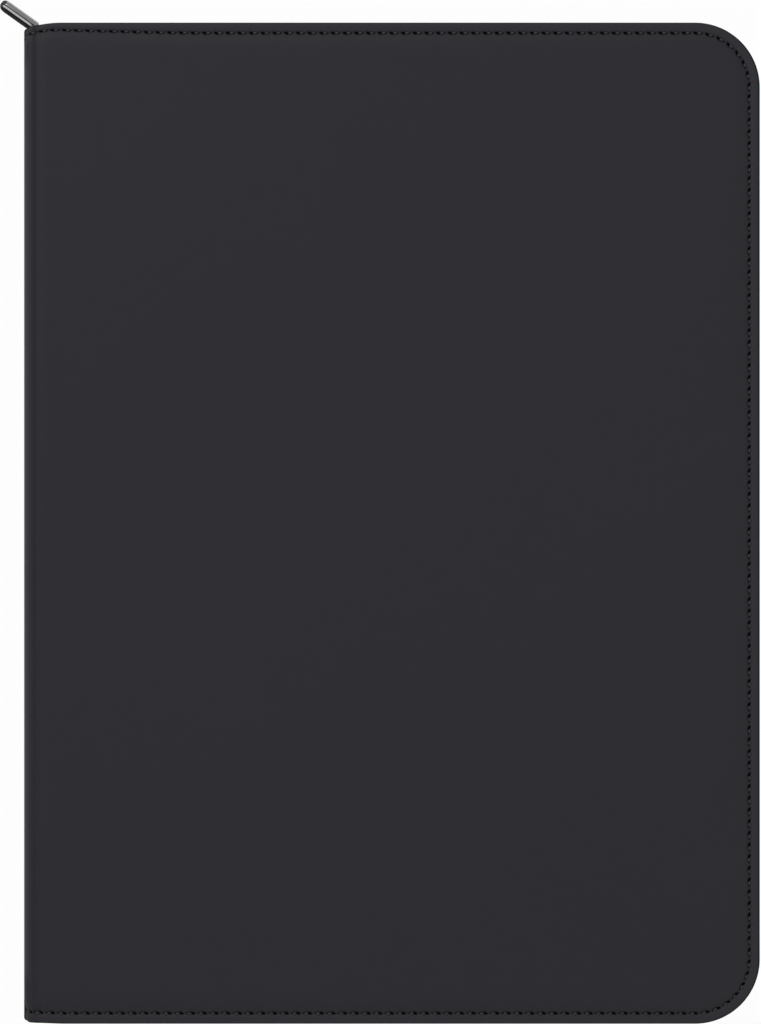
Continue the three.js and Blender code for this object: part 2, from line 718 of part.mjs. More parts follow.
// A panel sewn down on three sides, open at its top edge, standing off what it is sewn to by gap.
function pocketSolid(left, right, bottom, top, low, gap, thickness) {
  const plan = roundedShape(rectangle(left, right, bottom, top), POCKET_CORNER);
  const panel = solidOf(raised(plan, low, low + gap + thickness));
  const seam = POCKET_SEAM;
  const roomPlan = roundedShape(
    rectangle(left + seam, right - seam, bottom + seam, top + POCKET_CORNER),
    POCKET_CORNER - seam,
  );
  return panel.subtract(solidOf(raised(roomPlan, low - 1, low + gap)));
}

function documentPocket() {
  const panel = pocketSolid(
    POCKET_LEFT,
    POCKET_RIGHT,
    POCKET_BOTTOM,
    POCKET_TOP,
    INSIDE_Z,
    DOCUMENT_POCKET_GAP,
    POCKET_THICKNESS,
  );
  const half = THUMB_NOTCH_WIDTH / 2;
  const radius = (half * half + THUMB_NOTCH_DEPTH * THUMB_NOTCH_DEPTH) / (2 * THUMB_NOTCH_DEPTH);
  const x = mid(POCKET_LEFT, POCKET_RIGHT);
  const y = POCKET_TOP - THUMB_NOTCH_DEPTH + radius;
  const spread = Math.asin(half / radius);
  const down = -Math.PI / 2;
  const cut = [
    ...arc(x, y, radius, down - spread, down + spread, THUMB_NOTCH_STEPS),
    vec(x + half, POCKET_TOP + 1),
    vec(x - half, POCKET_TOP + 1),
  ];
  const notch = solidOf(raised(cut, INSIDE_Z - 1, DOCUMENT_Z + 1));
  return pieceMesh("document_pocket", panel.subtract(notch), materials.lining);
}

function phonePocket() {
  const bottom = POCKET_BOTTOM + POCKET_SPACING;
  const panel = pocketSolid(
    POCKET_LEFT + POCKET_SPACING,
    CARD_PANEL_LEFT - POCKET_SPACING,
    bottom,
    bottom + PHONE_POCKET_LENGTH,
    DOCUMENT_Z,
    PHONE_POCKET_GAP,
    POCKET_THICKNESS,
  );
  return pieceMesh("phone_pocket", panel, materials.lining);
}

// The card pockets share one lower seam, and each mouth steps down from the last.
function cardPockets() {
  const group = new THREE.Group();
  const left = CARD_PANEL_LEFT;
  const right = CARD_PANEL_RIGHT;
  const bottom = POCKET_BOTTOM + POCKET_SPACING;
  const highest = bottom + CARD_PANEL_MARGIN + CARD_POCKET_DEPTH;
  const panelTop = highest + CARD_POCKET_COUNT * CARD_POCKET_STEP;
  const layer = CARD_POCKET_THICKNESS;
  const panelPlan = roundedShape(rectangle(left, right, bottom, panelTop), POCKET_CORNER);
  const panel = raised(panelPlan, DOCUMENT_Z, DOCUMENT_Z + layer);
  group.add(pieceMesh("card_panel", panel, materials.lining));
  for (let i = 1; i <= CARD_POCKET_COUNT; i += 1) {
    const plan = rectangle(
      left + CARD_PANEL_MARGIN,
      right - CARD_PANEL_MARGIN,
      bottom + CARD_PANEL_MARGIN,
      highest + (CARD_POCKET_COUNT - i) * CARD_POCKET_STEP,
    );
    const low = DOCUMENT_Z + i * layer;
    group.add(pieceMesh(`card_pocket_${i}`, raised(plan, low, low + layer), materials.skin));
  }
  return group;
}

function penLoop() {
  const half = PEN_LOOP_LENGTH / 2;
  const z = INSIDE_Z + PEN_LOOP_RADIUS;
  const turn = 2 * Math.PI;
  const ring = arc(PEN_LOOP_X, z, PEN_LOOP_RADIUS, 0, turn, PEN_LOOP_STEPS).slice(0, -1);
  const bore = arc(PEN_LOOP_X, z, PEN_LOOP_BORE / 2, 0, turn, PEN_LOOP_STEPS).slice(0, -1);
  const tab = box(
    PEN_LOOP_X - PEN_LOOP_TAB / 2,
    PEN_LOOP_X + PEN_LOOP_TAB / 2,
    -half,
    half,
    INSIDE_Z,
    INSIDE_Z + PEN_LOOP_WALL,
  );
  const loop = solidOf(alongY(ring, -half, half))
    .add(solidOf(tab))
    .subtract(solidOf(alongY(bore, -half - 1, half + 1)));
  return pieceMesh("pen_loop", loop, materials.elastic);
}

// The whole organizer

const organizer = new THREE.Group();

const backHalf = coverHalf("back", 0);
backHalf.add(padPocket());
backHalf.add(writingPad());
organizer.add(backHalf);

const frontHalf = coverHalf("front", 0.5);
frontHalf.add(documentPocket());
frontHalf.add(phonePocket());
frontHalf.add(cardPockets());
frontHalf.add(penLoop());
frontHalf.position.z = CASE_THICKNESS;
frontHalf.scale.z = -1;
organizer.add(frontHalf);

organizer.add(spine());
organizer.add(sliderGroup());

export default organizer;
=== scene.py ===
"""Dresses a shut A4 zip-round portfolio organizer: coated covers with stitched rims, a folded spine,
a moulded zip with slider and puller, sewn pockets, a pen loop and a writing pad."""

import math
import random

import bmesh
import bpy
from mathutils import Matrix, Vector


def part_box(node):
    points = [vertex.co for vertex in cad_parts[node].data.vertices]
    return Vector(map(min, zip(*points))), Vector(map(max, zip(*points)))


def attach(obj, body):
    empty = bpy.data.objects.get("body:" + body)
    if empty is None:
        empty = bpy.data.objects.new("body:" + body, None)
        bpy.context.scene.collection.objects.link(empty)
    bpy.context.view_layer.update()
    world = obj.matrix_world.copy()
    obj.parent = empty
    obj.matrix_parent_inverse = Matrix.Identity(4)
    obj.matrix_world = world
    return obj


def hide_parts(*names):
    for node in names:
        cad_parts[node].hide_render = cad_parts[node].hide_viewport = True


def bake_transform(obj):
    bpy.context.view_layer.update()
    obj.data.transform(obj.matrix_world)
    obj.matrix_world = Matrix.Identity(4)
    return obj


bl_info = {
    "name": "Zip-round portfolio organizer",
    "version": (1, 0, 0),
    "blender": (4, 5, 0),
    "location": "View3D > Sidebar > Organizer",
    "description": "Builds the covers, zip, pockets and pad of an A4 organizer round its CAD frame",
    "category": "Object",
}

MM = 0.001
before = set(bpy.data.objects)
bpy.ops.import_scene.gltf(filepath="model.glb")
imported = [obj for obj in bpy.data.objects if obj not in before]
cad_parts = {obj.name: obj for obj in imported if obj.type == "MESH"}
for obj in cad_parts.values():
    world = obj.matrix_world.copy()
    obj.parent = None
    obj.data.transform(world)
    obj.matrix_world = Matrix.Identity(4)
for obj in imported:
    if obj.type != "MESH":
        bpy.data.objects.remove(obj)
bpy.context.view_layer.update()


# Places read from the frame, in metres

SKIN_LOW, SKIN_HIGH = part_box("front_cover_skin")
BACK_LOW, BACK_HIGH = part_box("back_cover_skin")
SPINE_LOW, SPINE_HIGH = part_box("spine_skin")
TAPE_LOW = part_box("zip_tape_back")[0]
LINING_LOW, LINING_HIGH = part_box("back_lining")

THICK = SKIN_HIGH.z - BACK_LOW.z
RIGHT = SKIN_HIGH.x
TOP = SKIN_HIGH.y
SPINE_X = SPINE_LOW.x
FOLD_X = SKIN_LOW.x
FOLD_R = FOLD_X - SPINE_X
WALL_DEPTH = BACK_HIGH.z

# Radius of the covers' corners, and thickness of their coated cloth
CORNER = 22 * MM
SKIN_THICKNESS = 0.8 * MM

# The puller leans out over the spine's top end, turned from +X about +Z and tilted about its length.
PULLER_TURN = math.radians(144.5)
PULLER_TILT = math.radians(19)
PULLER_ALONG = Vector((math.cos(PULLER_TURN), math.sin(PULLER_TURN), 0))
PULLER_FACE = Vector(
    (
        -math.sin(PULLER_TURN) * math.cos(PULLER_TILT),
        math.cos(PULLER_TURN) * math.cos(PULLER_TILT),
        math.sin(PULLER_TILT),
    )
)


# Sizes and colours that a user would change


def length_setting(name, description, default):
    return bpy.props.FloatProperty(
        name=name, description=description, default=default, unit="LENGTH"
    )


def colour_setting(name, description, default):
    return bpy.props.FloatVectorProperty(
        name=name, description=description, default=default, subtype="COLOR", min=0, max=1
    )


class OrganizerSizes(bpy.types.PropertyGroup):
    stitch_pitch: length_setting(
        "Stitch pitch", "Length of one stitch along the rim", 3.97 * MM
    )
    stitch_inset: length_setting(
        "Stitch inset", "Distance of the stitch line from the cover's edge", 3.65 * MM
    )
    thread_width: length_setting("Thread width", "Diameter of the sewing thread", 0.5 * MM)
    stitch_slant: bpy.props.FloatProperty(
        name="Stitch slant",
        description="Angle of each stitch to the seam",
        default=math.radians(14),
        subtype="ANGLE",
    )
    groove_depth: length_setting(
        "Groove depth", "Depth of the hinge groove beside the spine", 0.75 * MM
    )
    camera_height: length_setting(
        "Camera height", "Height of the camera over the front cover", 1302.5 * MM
    )


class OrganizerColours(bpy.types.PropertyGroup):
    skin: colour_setting(
        "Cover skin", "Coated cloth of the covers and spine", (0.0157, 0.0152, 0.0201)
    )
    thread: colour_setting("Thread", "Polyester sewing thread", (0.056, 0.056, 0.06))
    lining: colour_setting("Lining", "Woven lining and pockets", (0.016, 0.016, 0.018))
    metal: colour_setting(
        "Black nickel", "Plating of the slider and its puller", (0.23, 0.225, 0.225)
    )
    paper: colour_setting("Paper", "Sheets of the writing pad", (0.86, 0.85, 0.82))


def sizes():
    return bpy.context.scene.organizer_sizes


def colours():
    return bpy.context.scene.organizer_colours


# Material building blocks


def new_material(name, colour, roughness, metallic=0.0, specular=0.5):
    material = bpy.data.materials.new(name)
    material.use_nodes = True
    shader = material.node_tree.nodes["Principled BSDF"]
    shader.inputs["Base Color"].default_value = (*colour, 1)
    shader.inputs["Roughness"].default_value = roughness
    shader.inputs["Metallic"].default_value = metallic
    shader.inputs["Specular IOR Level"].default_value = specular
    return material, material.node_tree, shader


def object_place(tree, stretch=(1, 1, 1), turn=(0, 0, 0)):
    """Object coordinates for a pattern that is turned and then stretched along its own axes."""
    coordinates = tree.nodes.new("ShaderNodeTexCoord")
    mapping = tree.nodes.new("ShaderNodeMapping")
    mapping.vector_type = "TEXTURE"
    mapping.inputs["Scale"].default_value = stretch
    mapping.inputs["Rotation"].default_value = turn
    tree.links.new(coordinates.outputs["Object"], mapping.inputs["Vector"])
    return mapping.outputs["Vector"]


def noise(tree, place, size, detail=2.0):
    """Noise whose blotches are about size metres across."""
    node = tree.nodes.new("ShaderNodeTexNoise")
    node.inputs["Scale"].default_value = 1 / size
    node.inputs["Detail"].default_value = detail
    tree.links.new(place, node.inputs["Vector"])
    return node.outputs["Fac"]


def pebbles(tree, place, size):
    """Rounded cells about size metres across, as in a pressed leather grain."""
    node = tree.nodes.new("ShaderNodeTexVoronoi")
    node.feature = "SMOOTH_F1"
    node.inputs["Scale"].default_value = 1 / size
    node.inputs["Smoothness"].default_value = 0.6
    tree.links.new(place, node.inputs["Vector"])
    return node.outputs["Distance"]


def waves(tree, place, size, axis):
    """Bands of that pitch along an axis."""
    node = tree.nodes.new("ShaderNodeTexWave")
    node.bands_direction = axis
    node.inputs["Scale"].default_value = math.tau / 20 / size
    tree.links.new(place, node.inputs["Vector"])
    return node.outputs["Fac"]


def blend_values(tree, kind, first, second):
    node = tree.nodes.new("ShaderNodeMath")
    node.operation = kind
    for socket, value in zip(node.inputs, (first, second)):
        if isinstance(value, (int, float)):
            socket.default_value = value
        else:
            tree.links.new(value, socket)
    return node.outputs[0]


def spread(tree, value, low, high):
    node = tree.nodes.new("ShaderNodeMapRange")
    node.inputs["To Min"].default_value = low
    node.inputs["To Max"].default_value = high
    tree.links.new(value, node.inputs["Value"])
    return node.outputs[0]


def tint(tree, shader, value, dark, light):
    node = tree.nodes.new("ShaderNodeMix")
    node.data_type = "RGBA"
    node.inputs["A"].default_value = (*dark, 1)
    node.inputs["B"].default_value = (*light, 1)
    tree.links.new(value, node.inputs["Factor"])
    tree.links.new(node.outputs["Result"], shader.inputs["Base Color"])


def bump(tree, shader, layers):
    """Layers of (height value, depth in metres), stacked into the shader's normal."""
    normal = None
    for height, depth in layers:
        node = tree.nodes.new("ShaderNodeBump")
        node.inputs["Distance"].default_value = depth
        node.inputs["Strength"].default_value = 1.0
        tree.links.new(height, node.inputs["Height"])
        if normal:
            tree.links.new(normal, node.inputs["Normal"])
        normal = node.outputs["Normal"]
    tree.links.new(normal, shader.inputs["Normal"])


def shaded(colour, factor):
    return tuple(min(1.0, c * factor) for c in colour)


# Materials, one for each finish


def skin_material():
    """Matte coated cloth. A vertex attribute paints shade into it (up to 1, black) or a highlight
    that makes it paler (below 0).
    """
    colour = colours().skin
    specular = 0.24
    material, tree, shader = new_material("coated_skin", colour, 0.6, specular=specular)
    place = object_place(tree)
    cloudy = noise(tree, place, 38 * MM, 3)
    # Painted light: the vertex attribute darkens the colour and the specular where shade is painted,
    # and makes the colour paler where a highlight is painted.
    rim = tree.nodes.new("ShaderNodeAttribute")
    rim.attribute_name = "painted_light_tone"
    light = blend_values(tree, "SUBTRACT", 1.0, rim.outputs["Fac"])
    shade = blend_values(tree, "MULTIPLY", spread(tree, cloudy, 0.467, 0.507), light)
    tint(tree, shader, shade, shaded(colour, 0.01), shaded(colour, 2))
    gloss = blend_values(tree, "MULTIPLY", light, specular)
    tree.links.new(gloss, shader.inputs["Specular IOR Level"])
    rough = spread(tree, noise(tree, place, 5 * MM, 4), 0.57, 0.64)
    tree.links.new(rough, shader.inputs["Roughness"])
    grain = pebbles(tree, place, 0.7 * MM)
    fine = noise(tree, place, 0.25 * MM, 3)
    bump(tree, shader, [(grain, 0.018 * MM), (fine, 0.012 * MM), (cloudy, 0.10 * MM)])
    return material


def thread_material():
    colour = colours().thread
    material, tree, shader = new_material("sewing_thread", colour, 0.6, specular=0.4)
    place = object_place(tree, turn=(0, 0, math.radians(35)))
    plies = waves(tree, place, 0.28 * MM, "X")
    tint(tree, shader, plies, shaded(colour, 0.6), shaded(colour, 1.25))
    bump(tree, shader, [(plies, 0.05 * MM)])
    return material


def woven_material(name, colour, pitch, roughness, depth):
    """A plain weave: two sets of yarns at right angles."""
    material, tree, shader = new_material(name, colour, roughness, specular=0.3)
    place = object_place(tree)
    warp = waves(tree, place, pitch, "X")
    weft = waves(tree, place, pitch, "Y")
    weave = blend_values(tree, "MULTIPLY", warp, weft)
    cloudy = noise(tree, place, 14 * MM, 3)
    both = blend_values(tree, "MULTIPLY", weave, cloudy)
    tint(tree, shader, both, shaded(colour, 0.7), shaded(colour, 1.5))
    bump(tree, shader, [(weave, depth), (cloudy, 0.15 * MM)])
    shader.inputs["Sheen Weight"].default_value = 0.15
    return material


def lining_material():
    return woven_material("woven_lining", colours().lining, 0.45 * MM, 0.85, 0.06 * MM)


def tape_material():
    return woven_material("zip_tape_weave", (0.013, 0.013, 0.014), 0.7 * MM, 0.9, 0.12 * MM)


def elastic_material():
    return woven_material("ribbed_elastic", (0.013, 0.013, 0.013), 0.9 * MM, 0.9, 0.2 * MM)


def plastic_material():
    colour = (0.016, 0.016, 0.017)
    material, tree, shader = new_material("moulded_plastic", colour, 0.38)
    place = object_place(tree)
    speck = noise(tree, place, 0.3 * MM, 3)
    rough = spread(tree, speck, 0.3, 0.46)
    tree.links.new(rough, shader.inputs["Roughness"])
    tint(tree, shader, speck, shaded(colour, 0.8), shaded(colour, 1.3))
    bump(tree, shader, [(speck, 0.01 * MM)])
    return material


def pocket_material():
    colour = shaded(colours().skin, 0.85)
    material, tree, shader = new_material("pocket_skin", colour, 0.5, specular=0.32)
    place = object_place(tree)
    grain = pebbles(tree, place, 0.6 * MM)
    tint(tree, shader, grain, shaded(colour, 0.9), shaded(colour, 1.1))
    bump(tree, shader, [(grain, 0.03 * MM), (noise(tree, place, 9 * MM), 0.1 * MM)])
    return material


def paper_material():
    """White paper with pale rules 8 mm apart."""
    colour = colours().paper
    material, tree, shader = new_material("pad_paper", colour, 0.85, specular=0.2)
    place = object_place(tree)
    rules = blend_values(tree, "POWER", waves(tree, place, 8 * MM, "Y"), 260)
    tint(tree, shader, rules, colour, (0.45, 0.5, 0.58))
    bump(tree, shader, [(noise(tree, place, 0.4 * MM, 3), 0.01 * MM)])
    return material


def binding_material():
    colour = (0.03, 0.03, 0.034)
    material, tree, shader = new_material("pad_binding", colour, 0.6)
    fibre = noise(tree, object_place(tree, stretch=(5, 1, 1)), 0.4 * MM, 4)
    tint(tree, shader, fibre, shaded(colour, 0.75), shaded(colour, 1.3))
    bump(tree, shader, [(fibre, 0.03 * MM)])
    return material


def metal_material():
    """Satin black nickel. A face attribute paints a highlight into it (1) or a dark reflection as
    plain black (-1).
    """
    colour = colours().metal
    material, tree, shader = new_material("black_nickel", colour, 0.24, specular=0.01)
    place = object_place(tree)
    # The attribute paints reflections into the colour and the metalness: a highlight, or a dark
    # reflection as plain black.
    painted_reflection = tree.nodes.new("ShaderNodeAttribute")
    painted_reflection.attribute_name = "painted_reflection"
    mottle = spread(tree, noise(tree, place, 1.6 * MM, 4), -0.1, 0.1)
    tone = blend_values(tree, "ADD", painted_reflection.outputs["Fac"], mottle)
    share = blend_values(tree, "MULTIPLY_ADD", tone, 0.5)
    share.node.inputs[2].default_value = 0.5
    bare = blend_values(tree, "MULTIPLY", share, 2.0)
    bare.node.use_clamp = True
    tree.links.new(bare, shader.inputs["Metallic"])
    tint(tree, shader, share, shaded(colour, 0.01), shaded(colour, 2))
    brushed = noise(tree, object_place(tree, (1, 14, 14), (0, 0, PULLER_TURN)), 0.16 * MM, 3)
    rough = spread(tree, brushed, 0.18, 0.36)
    tree.links.new(rough, shader.inputs["Roughness"])
    bump(tree, shader, [(brushed, 0.006 * MM)])
    return material


def board_material():
    colour = (0.3, 0.27, 0.22)
    material, tree, shader = new_material("grey_board", colour, 0.92, specular=0.2)
    fibre = noise(tree, object_place(tree), 0.9 * MM, 5)
    tint(tree, shader, fibre, shaded(colour, 0.75), shaded(colour, 1.2))
    bump(tree, shader, [(fibre, 0.05 * MM)])
    return material


def foam_material():
    colour = (0.6, 0.59, 0.55)
    material, tree, shader = new_material("padding_foam", colour, 1.0, specular=0.1)
    cells = pebbles(tree, object_place(tree), 0.6 * MM)
    tint(tree, shader, cells, shaded(colour, 0.8), colour)
    bump(tree, shader, [(cells, 0.15 * MM)])
    return material


# Mesh building blocks


def deselect_all():
    if bpy.context.mode != "OBJECT":
        bpy.ops.object.mode_set(mode="OBJECT")
    bpy.ops.object.select_all(action="DESELECT")


def make_active(piece):
    deselect_all()
    piece.select_set(True)
    bpy.context.view_layer.objects.active = piece


def mesh_piece(name, vertices, faces):
    mesh = bpy.data.meshes.new(name)
    mesh.from_pydata([tuple(v) for v in vertices], [], faces)
    mesh.validate()
    piece = bpy.data.objects.new(name, mesh)
    bpy.context.scene.collection.objects.link(piece)
    return piece


def settle(piece):
    """Puts the piece's place into its mesh, so its object sits at the origin."""
    make_active(piece)
    bpy.ops.object.transform_apply(location=True, rotation=True, scale=True)


def add_modifier(piece, kind, **settings):
    modifier = piece.modifiers.new(kind.title(), kind)
    for key, value in settings.items():
        setattr(modifier, key, value)
    make_active(piece)
    bpy.ops.object.modifier_apply(modifier=modifier.name)


def smooth(piece, angle=40):
    make_active(piece)
    bpy.ops.object.shade_smooth_by_angle(angle=math.radians(angle))


def finish_piece(piece, material, body, angle=40):
    piece.data.materials.clear()
    piece.data.materials.append(material)
    smooth(piece, angle)
    if body:
        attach(piece, body)
    return piece


def mirrored_in_thickness(piece):
    """Turns a front piece into the back one: z becomes the case's thickness less z."""
    for vertex in piece.data.vertices:
        vertex.co.z = THICK - vertex.co.z
    piece.data.flip_normals()


def scatter(name, template, places):
    """One mesh of copies of the template, one for each placing matrix."""
    points = [v.co.copy() for v in template.data.vertices]
    polygons = [tuple(p.vertices) for p in template.data.polygons]
    vertices = []
    faces = []
    for place in places:
        start = len(vertices)
        vertices.extend(place @ p for p in points)
        faces.extend(tuple(start + i for i in polygon) for polygon in polygons)
    bpy.data.objects.remove(template)
    return mesh_piece(name, vertices, faces)


def cad_copy(name, node, bevel, segments=3, angle=30):
    """A copy of a CAD node with its loose triangles joined and its sharp edges rounded."""
    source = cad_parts[node]
    piece = bpy.data.objects.new(name, source.data.copy())
    bpy.context.scene.collection.objects.link(piece)
    make_active(piece)
    bpy.ops.object.mode_set(mode="EDIT")
    bpy.ops.mesh.select_all(action="SELECT")
    bpy.ops.mesh.remove_doubles(threshold=0.002 * MM)
    bpy.ops.mesh.tris_convert_to_quads(face_threshold=math.radians(1))
    bpy.ops.mesh.dissolve_limited(angle_limit=math.radians(1))
    bpy.ops.object.mode_set(mode="OBJECT")
    add_modifier(
        piece,
        "BEVEL",
        width=bevel,
        segments=segments,
        limit_method="ANGLE",
        angle_limit=math.radians(angle),
    )
    return piece


# The stitched rim. Its line runs from the spine, over the fold, along the top, down the opening
# edge and back along the bottom. All of it is drawn for the front cover.

ARC_LENGTH = FOLD_R * math.pi / 2
# Towards the spine the skin's edge draws in, as a curve at the top and straight at the bottom. It
# starts at this X, and over this reach it comes to these amounts.
DROP_START = RIGHT - 237 * MM
DROP_REACH = 11.6 * MM
TOP_DROP = 1.75 * MM
BOTTOM_DROP = 0.42 * MM
# Width and height of the rounding at the spine's own corners.
TOP_ROUND = (1.6 * MM, 1.1 * MM)
BOTTOM_ROUND = (1.1 * MM, 0.9 * MM)
# The hinge groove's middle, and its half widths towards the spine and towards the panel.
GROOVE_X = FOLD_X + 1.0 * MM
GROOVE_WIDTHS = (1.15 * MM, 1.5 * MM)


def end_drop(x, is_top):
    """How far the skin's edge draws in towards the spine's end."""
    reach = max(0.0, DROP_START - x)
    if is_top:
        return TOP_DROP * (reach / DROP_REACH) ** 2
    return BOTTOM_DROP * reach / DROP_REACH


def end_round(x, is_top):
    """The rounding of the spine's own corner, past the last stitch."""
    width, height = TOP_ROUND if is_top else BOTTOM_ROUND
    past = (SPINE_X + width - x) / width
    if past <= 0:
        return 0.0
    return height * (1 - math.sqrt(max(0.0, 1 - past * past)))


def round_path(s, inset, left):
    """Point, inward and forward directions at length s of the line round the three zipped sides."""
    bend = (CORNER - inset) * math.pi / 2
    run = RIGHT - CORNER - left
    side = 2 * (TOP - CORNER)
    lengths = [run, bend, side, bend, run]
    part = 0
    while part < 4 and s > lengths[part]:
        s -= lengths[part]
        part += 1
    sign = 1 if part < 3 else -1
    if part in (0, 4):
        x = left + (s if part == 0 else run - s)
        return Vector((x, sign * (TOP - inset), 0)), Vector((0, -sign, 0)), Vector((sign, 0, 0))
    if part == 2:
        return Vector((RIGHT - inset, TOP - CORNER - s, 0)), Vector((-1, 0, 0)), Vector((0, -1, 0))
    angle = math.pi / 2 * (1 - s / bend) if part == 1 else -math.pi / 2 * s / bend
    out = Vector((math.cos(angle), math.sin(angle), 0))
    centre = Vector((RIGHT - CORNER, sign * (TOP - CORNER), 0))
    return centre + out * (CORNER - inset), -out, Vector((out.y, -out.x, 0))


def round_length(inset, left):
    bend = (CORNER - inset) * math.pi / 2
    return 2 * (RIGHT - CORNER - left) + 2 * bend + 2 * (TOP - CORNER)


def rim_frame(s, line_inset):
    """Edge point, inward, outward-normal and forward directions at length s along the stitch line."""
    middle = round_length(line_inset, FOLD_X)
    is_top = s < ARC_LENGTH + middle / 2
    sign = 1 if is_top else -1
    if ARC_LENGTH <= s <= ARC_LENGTH + middle:
        point, inward, ahead = round_path(s - ARC_LENGTH, line_inset, FOLD_X)
        edge = point - inward * line_inset
        edge.y -= sign * end_drop(edge.x, is_top)
        edge.z = THICK
        return edge, inward, Vector((0, 0, 1)), ahead
    share = s / ARC_LENGTH if is_top else (s - ARC_LENGTH - middle) / ARC_LENGTH
    angle = math.pi - share * math.pi / 2 if is_top else math.pi / 2 + share * math.pi / 2
    normal = Vector((math.cos(angle), 0, math.sin(angle)))
    x = FOLD_X + FOLD_R * normal.x
    z = THICK - FOLD_R + FOLD_R * normal.z
    y = sign * (TOP - end_drop(x, is_top) - end_round(x, is_top))
    ahead = Vector((normal.z, 0, -normal.x)) * sign
    return Vector((x, y, z)), Vector((0, -sign, 0)), normal, ahead


def rim_length(line_inset):
    return 2 * ARC_LENGTH + round_length(line_inset, FOLD_X)


def groove(x):
    """Depth of the hinge groove at x."""
    width = GROOVE_WIDTHS[0] if x < GROOVE_X else GROOVE_WIDTHS[1]
    return sizes().groove_depth * math.exp(-(((x - GROOVE_X) / width) ** 2))


# The skin's section from its inner lip, round the edge and over the rim to the flat panel:
# distance in from the edge and depth below the panel, in millimetres.
RIM_SECTION = [
    (2.4, 2.84),
    (1.2, 2.84),
    (0.5, 2.8),
    (0.12, 2.6),
    (0.0, 2.2),
    (0.0, 1.7),
    (0.05, 1.2),
    (0.2, 0.92),
    (0.4, 0.79),
    (0.7, 0.72),
    (1.8, 0.62),
    (2.6, 0.67),
    (2.95, 0.76),
    (3.15, 0.84),
    (3.35, 0.91),
    (3.55, 0.95),
    (3.75, 0.95),
    (3.95, 0.91),
    (4.15, 0.83),
    (4.4, 0.73),
    (5.2, 0.5),
    (6.2, 0.3),
    (7.5, 0.13),
    (9.5, 0.03),
    (13.0, 0.0),
]
# Rows of the section nearer to the face than this are its outside, in millimetres. They sink into
# the hinge groove, hold the needle holes and narrow with the top rim.
FACE_DEPTH = 1.0
# The rim's outer band ends at this inset, and its own edge is this wide, in millimetres.
BAND_END = 3.0
EDGE_WIDTH = 0.45
# Painted light in the skin's colour, where 1 is black and less than 0 is paler: painted shade on its
# edge on the opening side, a painted highlight on its band all round and what the opening side adds,
# painted shade in a needle hole's funnel, and a painted highlight where the skin rounds over the
# fold.
EDGE_PAINTED_SHADE = 0.8
BAND_PAINTED_HIGHLIGHT = -0.09
SIDE_BAND_PAINTED_HIGHLIGHT = -0.07
HOLE_PAINTED_SHADE = 2.2
FOLD_PAINTED_HIGHLIGHT = -0.7
# The painted highlight on the rounded fold ends this far from the spine's outside.
FOLD_HIGHLIGHT_WIDTH = 2.9 * MM
# The top rim starts to narrow this far from the spine, over this reach, by this share.
NARROW_START = 64 * MM
NARROW_REACH = 60 * MM
NARROW_SHARE = 0.36
# The cover's mesh has this many columns for each stitch. The strip of the panel beside the spine,
# which has to bend, reaches this far from the fold and has this many rows.
COLUMNS_PER_STITCH = 8
GUTTER = 9 * MM
GUTTER_ROWS = 56
# A thread comes up in one needle hole and goes down in the next, which is smaller and leans back.
HOLE_DEPTH = 0.56 * MM
HOLE_LENGTH = 0.62 * MM
HOLE_WIDTH = 0.34 * MM
HOLE_LEAN = math.radians(28)
ENTRY_SIZE = 0.55
# In pitches: where the thread goes in, its middle, and the visible lengths of a tight, sunk stitch
# and of a plain one.
THREAD_END = 0.5
THREAD_MIDDLE = 0.31
SUNK_STITCH = 0.33
FULL_STITCH = 0.72
# Depths of a stitch's ends below its middle, of the outside stitches below the panel, and of the
# inside ones past the wall.
STITCH_DIVE = 0.42 * MM
OUTSIDE_DEPTH = 0.66 * MM
INSIDE_DEPTH = 0.62 * MM


def funnel(s, inset, pitch, size, lean):
    """Depth of the nearest slanted needle hole, from 0 to 1."""
    along = (s + pitch / 2) % pitch - pitch / 2
    across = inset - sizes().stitch_inset
    u = along * math.cos(lean) + across * math.sin(lean)
    v = across * math.cos(lean) - along * math.sin(lean)
    return math.exp(-((u / (HOLE_LENGTH * size)) ** 2) - (v / (HOLE_WIDTH * size)) ** 2)


def needle_hole(s, inset, pitch):
    """Depth of the nearest hole of either kind, from 0 to 1."""
    entry = funnel(s - pitch * THREAD_END, inset, pitch, ENTRY_SIZE, -HOLE_LEAN)
    return max(funnel(s, inset, pitch, 1.0, HOLE_LEAN), entry)


def rim_width(edge, inward):
    """Share of the rim's width at an edge point: the top rim narrows towards the spine."""
    if inward.y >= 0:
        return 1.0
    near = (SPINE_X + NARROW_START - edge.x) / NARROW_REACH
    return 1 - NARROW_SHARE * min(1.0, max(0.0, near)) ** 1.5


def painted_light_tone(inset, hole, inward):
    """Painted light in the skin: painted shade in the holes and on the edge on the opening side, a
    painted highlight on the band.
    """
    # Painted shade on the turned edge of the opening side
    if inset <= EDGE_WIDTH:
        return EDGE_PAINTED_SHADE * abs(inward.x)
    # Painted highlight on the rim's band
    if inset < BAND_END:
        return BAND_PAINTED_HIGHLIGHT + SIDE_BAND_PAINTED_HIGHLIGHT * abs(inward.x)
    # Painted shade in the needle holes
    return min(1.0, HOLE_PAINTED_SHADE * hole)


def fold_highlight(x):
    """Painted highlight on the panel where it rounds over the fold, paler towards the spine's
    outside.
    """
    return FOLD_PAINTED_HIGHLIGHT * smoothstep((SPINE_X + FOLD_HIGHLIGHT_WIDTH - x) / FOLD_HIGHLIGHT_WIDTH)


